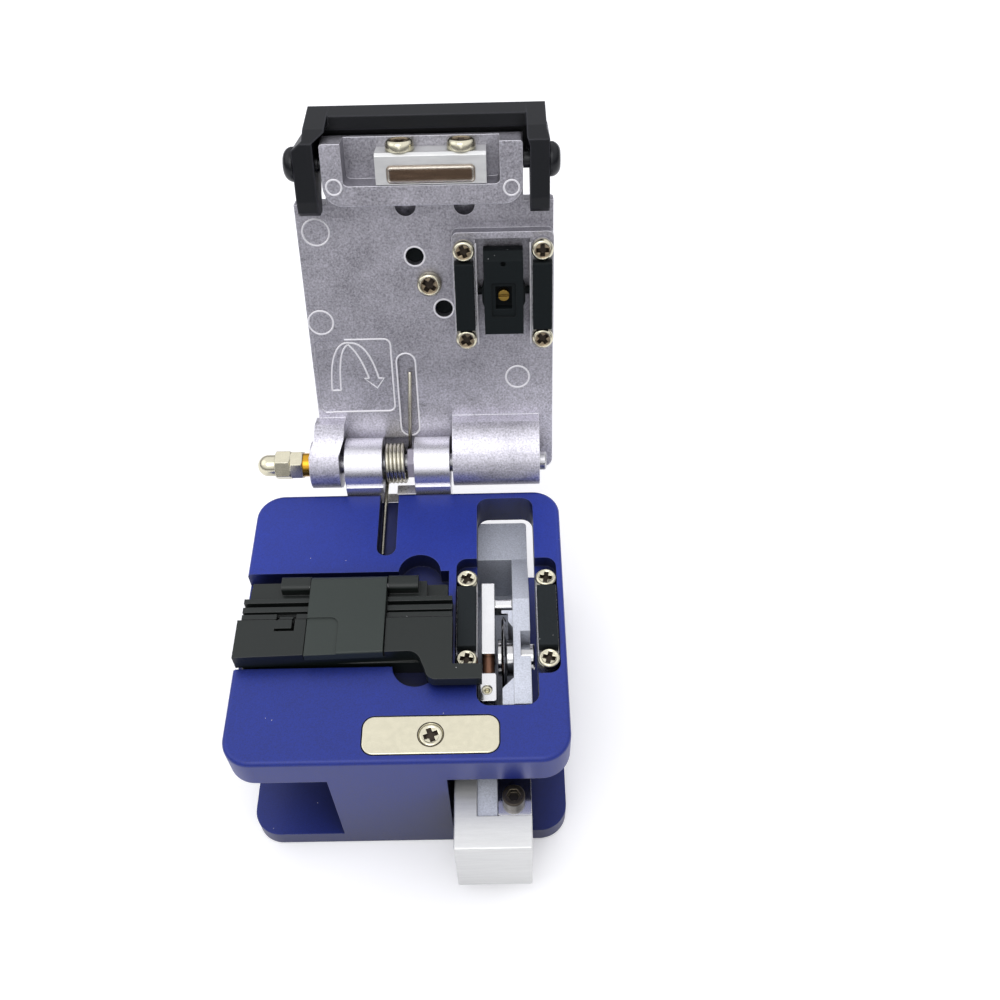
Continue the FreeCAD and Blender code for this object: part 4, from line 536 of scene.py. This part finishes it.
def screw_tree():
    """Copies of one screw on points, each with its own direction and a random turn."""
    tree, ins, outs = geometry_group(
        "Screws on Points", [("Screw", "NodeSocketObject", None),
                             ("Scale", "NodeSocketFloat", 1.0),
                             ("Seed", "NodeSocketInt", 3),
                             ("Material", "NodeSocketMaterial", None)])
    screw = add(tree, "GeometryNodeObjectInfo")
    screw.inputs["As Instance"].default_value = True
    tree.links.new(ins.outputs["Screw"], screw.inputs["Object"])
    spin = add(tree, "FunctionNodeRandomValue", data_type="FLOAT")
    spin.inputs["Max"].default_value = math.pi / 2
    tree.links.new(ins.outputs["Seed"], spin.inputs["Seed"])
    turn = add(tree, "GeometryNodeInputNamedAttribute", data_type="FLOAT_VECTOR")
    turn.inputs["Name"].default_value = "direction"
    aim = add(tree, "FunctionNodeAlignRotationToVector", axis="Z")
    tree.links.new(turn.outputs[0], aim.inputs["Vector"])
    on = add(tree, "GeometryNodeInstanceOnPoints")
    tree.links.new(ins.outputs["Geometry"], on.inputs["Points"])
    tree.links.new(screw.outputs["Geometry"], on.inputs["Instance"])
    tree.links.new(aim.outputs[0], on.inputs["Rotation"])
    tree.links.new(ins.outputs["Scale"], on.inputs["Scale"])
    join = add(tree, "ShaderNodeCombineXYZ")
    tree.links.new(spin.outputs[1], join.inputs["Z"])
    rotate = add(tree, "GeometryNodeRotateInstances")
    tree.links.new(on.outputs[0], rotate.inputs["Instances"])
    tree.links.new(join.outputs[0], rotate.inputs["Rotation"])
    # the recess and the dish keep their own darker materials: painted shade and painted dark
    # reflection
    head = add(tree, "GeometryNodeMaterialSelection")
    tree.links.new(ins.outputs["Material"], head.inputs["Material"])
    return close_tree(tree, rotate.outputs[0], ins, outs, head.outputs[0])


def sweep_tree():
    """A round wire along each run of edges."""
    tree, ins, outs = geometry_group(
        "Wire along Path", [("Diameter", "NodeSocketFloat", 0.0008),
                            ("Sides", "NodeSocketInt", 12),
                            ("Material", "NodeSocketMaterial", None)])
    line = add(tree, "GeometryNodeMeshToCurve")
    ring = add(tree, "GeometryNodeCurvePrimitiveCircle")
    sweep = add(tree, "GeometryNodeCurveToMesh")
    half = add(tree, "ShaderNodeMath", operation="MULTIPLY")
    half.inputs[1].default_value = 0.5
    tree.links.new(ins.outputs["Geometry"], line.inputs["Mesh"])
    tree.links.new(ins.outputs["Diameter"], half.inputs[0])
    tree.links.new(half.outputs[0], ring.inputs["Radius"])
    tree.links.new(ins.outputs["Sides"], ring.inputs["Resolution"])
    tree.links.new(line.outputs[0], sweep.inputs["Curve"])
    tree.links.new(ring.outputs[0], sweep.inputs["Profile Curve"])
    sweep.inputs["Fill Caps"].default_value = True
    return close_tree(tree, sweep.outputs[0], ins, outs)


def grown(name, points, edges, tree_name, maker, material, directions=None, matrix=Matrix(),
          **values):
    """Runs a geometry tree on points and edges, and returns the result as a plain mesh."""
    mesh = bpy.data.meshes.new(name + " source")
    mesh.from_pydata([matrix @ Vector(p) for p in points], edges, [])
    if directions:
        turn = mesh.attributes.new("direction", "FLOAT_VECTOR", "POINT")
        for item, direction in zip(turn.data, directions):
            item.vector = matrix.to_3x3() @ Vector(direction)
    source = bpy.data.objects.new(name + " source", mesh)
    bpy.context.scene.collection.objects.link(source)
    tree = bpy.data.node_groups.get(tree_name) or maker()
    modifier = source.modifiers.new("Repeat", "NODES")
    modifier.node_group = tree
    values["material"] = material
    for item in tree.interface.items_tree:
        if item.item_type == "SOCKET" and item.in_out == "INPUT" and item.name != "Geometry":
            key = item.name.lower()
            if key in values:
                modifier[item.identifier] = values[key]
    source.update_tag()
    bpy.context.view_layer.update()
    graph = bpy.context.evaluated_depsgraph_get()
    plain = bpy.data.meshes.new_from_object(source.evaluated_get(graph))
    plain.name = name
    bpy.data.objects.remove(source)
    if not plain.polygons:
        raise RuntimeError(f"{name} came out empty")
    piece = bpy.data.objects.new(name, plain)
    bpy.context.scene.collection.objects.link(piece)
    if not plain.materials:
        plain.materials.append(material)
    return piece


def chain(points, first=0):
    """Edges along a run of points, the first of which has the given index."""
    return [(first + i, first + i + 1) for i in range(len(points) - 1)]


def loop(count, first=0):
    """Edges round a closed run of points."""
    return [(first + i, first + (i + 1) % count) for i in range(count)]


def circle(x, y, z, radius, steps=CIRCLE_STEPS):
    angles = [2 * math.pi * k / steps for k in range(steps)]
    return [(x + radius * math.cos(a), y + radius * math.sin(a), z) for a in angles]


def arc(x, y, radius, first, last, z, steps=12):
    """Arc from one angle to another, in degrees."""
    angles = [math.radians(first + (last - first) * k / steps) for k in range(steps + 1)]
    return [(x + radius * math.cos(a), y + radius * math.sin(a), z) for a in angles]


def bezier(a, b, c, d, t):
    """Point at t on a cubic curve."""
    s = 1 - t
    return [s ** 3 * p + 3 * s ** 2 * t * q + 3 * s * t * t * u + t ** 3 * v
            for p, q, u, v in zip(a, b, c, d)]


# ---------------------------------------------------------------- screws
def revolved(profile, steps=48):
    """Closed mesh turned from a profile of (radius, height), both ends on the axis."""
    shape = bmesh.new()
    rings = []
    for radius, height in profile:
        if radius == 0:
            rings.append([shape.verts.new((0, 0, height))])
        else:
            rings.append([shape.verts.new(p) for p in circle(0, 0, height, radius, steps)])
    for low, high in zip(rings, rings[1:]):
        for k in range(steps):
            n = (k + 1) % steps
            corners = [low[k % len(low)], low[n % len(low)], high[n % len(high)],
                       high[k % len(high)]]
            shape.faces.new(list(dict.fromkeys(corners)))
    bmesh.ops.recalc_face_normals(shape, faces=shape.faces)
    mesh = bpy.data.meshes.new("turned")
    shape.to_mesh(mesh)
    shape.free()
    return mesh


def cross_cutter(reach, width, top, depth):
    """Tapered cross that cuts the recess of a screw head."""
    shape = bmesh.new()
    for turn in (0, math.pi / 2):
        corners = []
        for z, grow in ((top, 1.0), (top - depth, 0.55)):
            for x, y in ((-reach * grow, -width / 2), (reach * grow, -width / 2),
                         (reach * grow, width / 2), (-reach * grow, width / 2)):
                point = Matrix.Rotation(turn, 3, "Z") @ Vector((x, y, z))
                corners.append(shape.verts.new(point))
        for face in ((3, 2, 1, 0), (4, 5, 6, 7), (0, 1, 5, 4), (1, 2, 6, 5), (2, 3, 7, 6),
                     (3, 0, 4, 7)):
            shape.faces.new([corners[i] for i in face])
    bmesh.ops.recalc_face_normals(shape, faces=shape.faces)
    mesh = bpy.data.meshes.new("cross")
    shape.to_mesh(mesh)
    shape.free()
    return mesh


def pan_head(diameter, height, shank, dish):
    """Template of a cross-recess screw with a dished head, its seat at the origin."""
    r, s = diameter / 2, diameter * 0.2
    body = bpy.data.objects.new("head", revolved(
        [(0, -shank), (s, -shank), (s, 0), (r * 0.96, 0), (r, height * 0.08), (r, height * 0.50),
         (r * 0.98, height * 0.68), (r * 0.93, height * 0.84), (r * 0.86, height * 0.94),
         (r * 0.78, height), (r * 0.71, height * 0.99), (r * 0.64, height * 0.88),
         (r * 0.3, height * 0.86), (0, height * 0.85)]))
    cutter = bpy.data.objects.new("cutter", cross_cutter(r * 0.66, r * 0.40, height * 1.1,
                                                         height * 0.85))
    body.data.materials.append(finishes()["nickel"])
    # the dish takes a darker material: painted dark reflection
    if dish != "nickel":
        body.data.materials.append(finishes()[dish])
        for face in body.data.polygons:
            if face.center.z > height * 0.8 and face.center.to_2d().length < r * 0.68:
                face.material_index = 1
    # the recess takes a dark material: painted shade
    cutter.data.materials.append(finishes()["pit"])
    for obj in (body, cutter):
        bpy.context.scene.collection.objects.link(obj)
    cut = body.modifiers.new("Recess", "BOOLEAN")
    cut.object = cutter
    cut.solver = "EXACT"
    cut.material_mode = "TRANSFER"
    cut.use_self = True
    soften = body.modifiers.new("Soften", "BEVEL")
    soften.width = r * 0.035
    soften.segments = 2
    soften.limit_method = "ANGLE"
    graph = bpy.context.evaluated_depsgraph_get()
    mesh = bpy.data.meshes.new_from_object(body.evaluated_get(graph))
    bpy.data.objects.remove(body)
    bpy.data.objects.remove(cutter)
    return bpy.data.objects.new("pan head", mesh)


def set_screws(name, places, direction, diameter, height, shank, body, nodes, matrix=Matrix(),
               seed=3, dish="recess"):
    """Pan head screws at places, standing for the plain screws of the given nodes."""
    template = pan_head(diameter, height, shank, dish)
    bpy.context.scene.collection.objects.link(template)
    piece = grown(name, places, [], "Screws on Points", screw_tree, finishes()["nickel"],
                  [direction] * len(places), matrix, screw=template, scale=1.0, seed=seed)
    bpy.data.objects.remove(template)
    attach(piece, body)
    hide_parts(*nodes)
    return piece


# ---------------------------------------------------------------- operators
class CLEAVER_OT_finishes(bpy.types.Operator):
    """Give every piece of the frame its finish"""
    bl_idname = "cleaver.finishes"
    bl_label = "Finishes"

    def execute(self, context):
        ready = finishes()
        for finish, nodes in NODE_FINISH.items():
            for node in nodes:
                paint(NODES[node], ready[finish])
        missing = set(NODES) - {n for nodes in NODE_FINISH.values() for n in nodes}
        if missing:
            raise RuntimeError(f"no finish is named for {sorted(missing)}")
        return {"FINISHED"}


class CLEAVER_OT_screws(bpy.types.Operator):
    """Put detailed screws in the clamps, the magnet holder and the press pad"""
    bl_idname = "cleaver.screws"
    bl_label = "Screws"

    def execute(self, context):
        s = sizes()
        r = s.clamp_head / 2
        low = box_in("lower_clamp_screws")
        seat = box_in("lower_seat_left")[1].z
        xs = [middle(box_in(n)).x for n in ("lower_seat_left", "lower_seat_right")]
        places = [(x, y, seat) for x in xs for y in (low[0].y + r, low[1].y - r)]
        set_screws("clamp_screws_low", places, (0, 0, 1), s.clamp_head, s.head_rise, SHANK,
                   "body", ["lower_clamp_screws"], dish="nickel")
        lid = lid_to_world()
        high = box_in("upper_clamp_screws", lid)
        face = box_in("upper_seat_left", lid)[0].z
        xs = [middle(box_in(n, lid)).x for n in ("upper_seat_left", "upper_seat_right")]
        places = [(x, y, face) for x in xs for y in (high[0].y + r, high[1].y - r)]
        set_screws("clamp_screws_high", places, (0, 0, -1), s.clamp_head, s.head_rise, SHANK,
                   "lid", ["upper_clamp_screws"], lid, seed=8)
        held = box_in("magnet_screws", lid)
        front = box_in("magnet_holder", lid)[0].y
        radius = (held[1].z - held[0].z) / 2
        places = [(x, front, middle(held).z) for x in (held[0].x + radius, held[1].x - radius)]
        set_screws("magnet_holder_screws", places, (0, -1, 0), 2.3 * radius, front - held[0].y,
                   0.004, "lid", ["magnet_screws"], lid, seed=5)
        pad = box_in("press_pad_screw", lid)
        width = pad[1].x - pad[0].x
        rise = 1.7 * MM
        set_screws("pad_screw", [(middle(pad).x, middle(pad).y, pad[0].z + rise)], (0, 0, -1),
                   width, rise, SHANK, "lid", ["press_pad_screw"], lid, seed=11)
        return {"FINISHED"}


class CLEAVER_OT_strike(bpy.types.Operator):
    """Set a flush cross screw with its dark seat line into the strike plate"""
    bl_idname = "cleaver.strike"
    bl_label = "Strike plate screw"

    def execute(self, context):
        low, high = box_in("strike_plate_screw")
        at = middle((low, high))
        r = (high.x - low.x) / 2
        rise = 1.0 * MM
        piece = set_screws("strike_screw", [(at.x, at.y, high.z - rise)], (0, 0, 1), 2 * r, rise,
                           SHANK, "body", ["strike_plate_screw"], seed=2, dish="nickel")
        points = circle(at.x, at.y, high.z, r + 0.05 * MM, 48)
        ring = grown("strike_seat_line", points, loop(len(points)), "Wire along Path",
                     sweep_tree, finishes()["oxide"], diameter=0.24 * MM, sides=8)
        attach(ring, "body")
        return {"FINISHED"}


class CLEAVER_OT_spring(bpy.types.Operator):
    """Wind the torsion spring round the hinge shaft, with a leg in the body and one on the lid"""
    bl_idname = "cleaver.spring"
    bl_label = "Torsion spring"

    def execute(self, context):
        wire = sizes().wire
        hinge = Vector(joint("lid_hinge")["pos_m"])
        low = box_in("torsion_spring")[0]
        knuckle = box_in("spring_spacer")
        lid = lid_to_world()
        radius, coil_l, bend_back = 3.95 * MM, 6.25 * MM, 5.33 * MM
        whole_turns, steps_a_turn = 5, 40
        turns = whole_turns + (180 - max(joint("lid_hinge")["range_deg"])) / 360
        pitch = wire * 1.025
        # the left end of the coil is where the lower leg leaves it
        x0 = knuckle[1].x - coil_l
        steps = int(turns * steps_a_turn)
        coil = []
        for k in range(steps + 1):
            angle = -math.pi / 2 + 2 * math.pi * turns * k / steps
            coil.append((x0 + pitch * turns * k / steps, hinge.y + radius * math.cos(angle),
                         hinge.z + radius * math.sin(angle)))
        leg_end = (low.x + wire / 2, low.y + wire / 2, low.z + wire / 2)
        first = Vector(coil[0])
        bend = (leg_end[0], hinge.y - bend_back, leg_end[2] + 0.2 * MM)
        lower = [leg_end, bend, tuple(first - Vector((0, 0.9 * MM, -0.02 * MM)))]
        points = lower + coil
        piece = grown("spring_coil", points, chain(points), "Wire along Path", sweep_tree,
                      finishes()["spring"], diameter=wire, sides=14)
        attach(piece, "body")
        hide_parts("torsion_spring")
        inside = lid.inverted()
        face = lid_face(lid)
        root = inside @ Vector(coil[-1])
        # past the knuckle the leg lies in the lid's groove, and its tip bends into it
        leg = [root] + [Vector((x * MM, hinge.y - reach * MM, face - wire / 2 + sink * MM))
                        for x, reach, sink in ((0.2, 2.0, -0.15), (1.1, 18.4, 0.3),
                                               (1.15, 19.0, 0.7))]
        piece = grown("spring_leg", [lid @ p for p in leg], chain(leg), "Wire along Path",
                      sweep_tree, finishes()["spring"], diameter=wire, sides=14)
        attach(piece, "lid")
        return {"FINISHED"}


class CLEAVER_OT_marks(bpy.types.Operator):
    """Raise the lines of the casting: round die marks, hole rims and the direction arrow"""
    bl_idname = "cleaver.marks"
    bl_label = "Cast marks"

    def execute(self, context):
        lid = lid_to_world()
        face = lid_face(lid)
        low, high = box_in("lid_shell", lid)
        # the left knuckle stands out past the plate, so its edge is found from the right
        low.x = high.x - LID_WIDTH
        nose = face - NOSE_RISE
        rim = sizes().rim
        screw = middle(box_in("press_pad_screw", lid))
        hinge = Vector(joint("lid_hinge")["pos_m"])
        points, edges = [], []
        # place and height in metres, radius in millimetres
        rounds = [(low.x + 3.64 * MM, low.y + 17.9 * MM, face, 2.6),
                  (low.x + 2.64 * MM, low.y + 36.4 * MM, face, 2.5),
                  (high.x - 7.25 * MM, low.y + 49.2 * MM, face, 2.4),
                  (low.x + 8.9 * MM, low.y + 7.7 * MM, nose, 1.4),
                  (high.x - 7.95 * MM, low.y + 8.4 * MM, nose, 1.4),
                  (screw.x - 2.6 * MM, screw.y - 5.43 * MM, face, 1.95),
                  (screw.x + 2.6 * MM, screw.y + 5.43 * MM, face, 1.95)]
        for x, y, z, radius in rounds:
            edges += loop(CIRCLE_STEPS, len(points))
            points += circle(x, y, z, radius * MM)
        for run in self.arrow(low, face) + self.borders(low, face, hinge, lid):
            edges += chain(run, len(points))
            points += run
        piece = grown("cast_marks", points, edges, "Wire along Path", sweep_tree,
                      finishes()["rim"], matrix=lid, diameter=rim, sides=8)
        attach(piece, "lid")
        return {"FINISHED"}

    def borders(self, low, face, hinge, lid):
        """Raised borders of the spring groove, the panel and the clamp rails."""
        x, half = 0.5 * MM, 1.95 * MM
        near, far = hinge.y - 4.4 * MM - half, hinge.y - 23.4 * MM + half
        groove = arc(x, near, half, 0, 180, face) + arc(x, far, half, 180, 360, face)
        r = 1.3 * MM
        x1, y0 = low.x + 16.24 * MM - r, low.y + 40.2 * MM + r
        y1 = y0 + 16.3 * MM - 2 * r
        panel = [(x1 - 8 * MM, y0 - r, face), *arc(x1, y0, r, -90, 0, face),
                 *arc(x1, y1, r, 0, 90, face), (low.x + 3 * MM, y1 + r, face)]
        rails = []
        for node, side in (("upper_seat_left", 1), ("upper_seat_right", -1)):
            seat = box_in(node, lid)
            edge = middle(seat).x + side * 2.25 * MM
            rails.append([(edge, seat[0].y + 1.2 * MM, face - RAIL_RISE),
                          (edge, seat[1].y - 0.2 * MM, face - RAIL_RISE)])
        return [groove + groove[:1], panel, *rails]

    def arrow(self, low, face):
        """A curved arrow in outline, inside the panel beside the hinge."""
        x0, y0 = low.x + 0.74 * MM, low.y + 40.2 * MM
        z = face + 0.22 * MM

        def at(u, v):
            return (x0 + u * 15.5 * MM, y0 + v * 16.3 * MM, z)

        def bow(a, top, b, steps=14):
            return [at(*bezier(a, *top, b, k / steps)) for k in range(steps + 1)]

        outer = bow((0.17, 0.70), ((0.18, 0.20), (0.32, 0.02)), (0.46, 0.05))
        inner = bow((0.29, 0.70), ((0.30, 0.30), (0.34, 0.14)), (0.44, 0.07))
        far = bow((0.46, 0.05), ((0.66, 0.04), (0.76, 0.30)), (0.81, 0.54))
        near = bow((0.44, 0.07), ((0.54, 0.16), (0.62, 0.32)), (0.68, 0.54))
        head = [at(0.81, 0.54), at(0.88, 0.54), at(0.78, 0.68), at(0.62, 0.54), at(0.68, 0.54)]
        return [outer, inner, [at(0.17, 0.70), at(0.29, 0.70)], far, near, head]


class CLEAVER_OT_stage(bpy.types.Operator):
    """Pale floor, soft lamps and the camera"""
    bl_idname = "cleaver.stage"
    bl_label = "Stage"

    def execute(self, context):
        scene = context.scene
        stage = scene.cleaver_stage
        mesh = bpy.data.meshes.new("floor")
        half = 0.7
        mesh.from_pydata([(-half, -half, 0), (half, -half, 0), (half, half, 0), (-half, half, 0)],
                         [], [(0, 1, 2, 3)])
        floor = bpy.data.objects.new("floor", mesh)
        scene.collection.objects.link(floor)
        mesh.materials.append(self.paper())
        for name, place, size, power in (
                ("key", (-0.12, -0.38, 0.90), 0.4, stage.key),
                ("front", (0.0, -0.86, 0.50), 0.24, stage.front),
                ("fill", (-0.8, 0.1, 0.7), 0.5, stage.fill)):
            self.lamp(scene, name, Vector(place).normalized() * stage.distance, size, power)
        self.surroundings(scene, stage.room)
        self.camera(scene, stage)
        scene.view_settings.view_transform = "Standard"
        return {"FINISHED"}

    def lamp(self, scene, name, place, size, power):
        data = bpy.data.lights.new(name, "AREA")
        data.shape = "DISK"
        data.size = size
        data.energy = power
        lamp = bpy.data.objects.new(name, data)
        lamp.location = place
        lamp.rotation_euler = (-Vector(place)).to_track_quat("-Z", "Y").to_euler()
        scene.collection.objects.link(lamp)

    def paper(self):
        """Pale floor that reads as white to the camera and keeps the object's shadow."""
        material = bpy.data.materials.new("Paper")
        material.use_nodes = True
        tree = material.node_tree
        shader = tree.nodes["Principled BSDF"]
        path = tree.nodes.new("ShaderNodeLightPath")
        seen = math_node(tree, "MAXIMUM", path.outputs["Is Camera Ray"],
                         path.outputs["Is Glossy Ray"])
        tree.links.new(mix(tree, seen, (0.20, 0.20, 0.21), (0.98, 0.98, 0.985)),
                       shader.inputs["Base Color"])
        shader.inputs["Emission Color"].default_value = (1.0, 1.0, 1.0, 1.0)
        tree.links.new(math_node(tree, "MULTIPLY", path.outputs["Is Camera Ray"], 0.16),
                       shader.inputs["Emission Strength"])
        shader.inputs["Roughness"].default_value = 0.8
        shader.inputs["Specular IOR Level"].default_value = 0.1
        return material

    def surroundings(self, scene, strength):
        """White to the camera, and a soft bright room to everything else."""
        world = bpy.data.worlds.new("Studio")
        world.use_nodes = True
        scene.world = world
        tree = world.node_tree
        back = tree.nodes["Background"]
        path = tree.nodes.new("ShaderNodeLightPath")
        at = tree.nodes.new("ShaderNodeTexCoord")
        split = tree.nodes.new("ShaderNodeSeparateXYZ")
        tree.links.new(at.outputs["Generated"], split.inputs[0])
        # the room is dim near the horizon and bright overhead
        height = tree.nodes.new("ShaderNodeMapRange")
        height.interpolation_type = "SMOOTHSTEP"
        height.inputs["From Min"].default_value = 0.0
        height.inputs["From Max"].default_value = 0.62
        tree.links.new(split.outputs["Z"], height.inputs["Value"])
        low = [strength * c for c in (0.20, 0.20, 0.22)]
        high = [strength * c for c in (1.04, 1.04, 1.08)]
        room = mix(tree, height.outputs[0], low, high)
        tree.links.new(mix(tree, path.outputs["Is Camera Ray"], room, (1.0, 1.0, 1.0)),
                       back.inputs["Color"])

    def camera(self, scene, stage):
        data = bpy.data.cameras.new("camera")
        data.sensor_width = 36.0
        data.lens = stage.lens
        camera = bpy.data.objects.new("camera", data)
        yaw, pitch, roll = -0.012, 0.908, -0.029
        place = Vector((20.921, -111.746, 216.665)) * MM
        forward = Vector((math.sin(yaw) * math.cos(pitch), math.cos(yaw) * math.cos(pitch),
                          -math.sin(pitch)))
        right = Vector((math.cos(yaw), -math.sin(yaw), 0))
        up = right.cross(forward)
        across = math.cos(roll) * right + math.sin(roll) * up
        upward = math.cos(roll) * up - math.sin(roll) * right
        turned = Matrix((across, upward, -forward)).transposed().to_4x4()
        camera.matrix_world = Matrix.Translation(place) @ turned
        scene.collection.objects.link(camera)
        scene.camera = camera


class CLEAVER_PT_panel(bpy.types.Panel):
    """Lists the pieces, their sizes and colours"""
    bl_idname = "CLEAVER_PT_panel"
    bl_label = "Fibre cleaver"
    bl_space_type = "VIEW_3D"
    bl_region_type = "UI"
    bl_category = "Cleaver"

    def draw(self, context):
        for operator in OPERATORS:
            self.layout.operator(operator.bl_idname)
        for group in ("cleaver_sizes", "cleaver_colours", "cleaver_stage"):
            settings = getattr(context.scene, group)
            for key in settings.__annotations__:
                self.layout.prop(settings, key)


OPERATORS = (CLEAVER_OT_finishes, CLEAVER_OT_screws, CLEAVER_OT_strike, CLEAVER_OT_spring,
             CLEAVER_OT_marks, CLEAVER_OT_stage)
GROUPS = {"cleaver_colours": CleaverColours, "cleaver_sizes": CleaverSizes,
          "cleaver_stage": CleaverStage}


def register():
    for cls in (*GROUPS.values(), *OPERATORS, CLEAVER_PT_panel):
        bpy.utils.register_class(cls)
    for name, cls in GROUPS.items():
        setattr(bpy.types.Scene, name, bpy.props.PointerProperty(type=cls))


def unregister():
    for name in GROUPS:
        delattr(bpy.types.Scene, name)
    for cls in reversed((*GROUPS.values(), *OPERATORS, CLEAVER_PT_panel)):
        bpy.utils.unregister_class(cls)


def main():
    register()
    bpy.ops.cleaver.finishes()
    bpy.ops.cleaver.screws()
    bpy.ops.cleaver.strike()
    bpy.ops.cleaver.spring()
    bpy.ops.cleaver.marks()
    bpy.ops.cleaver.stage()


if __name__ == "__main__":
    main()
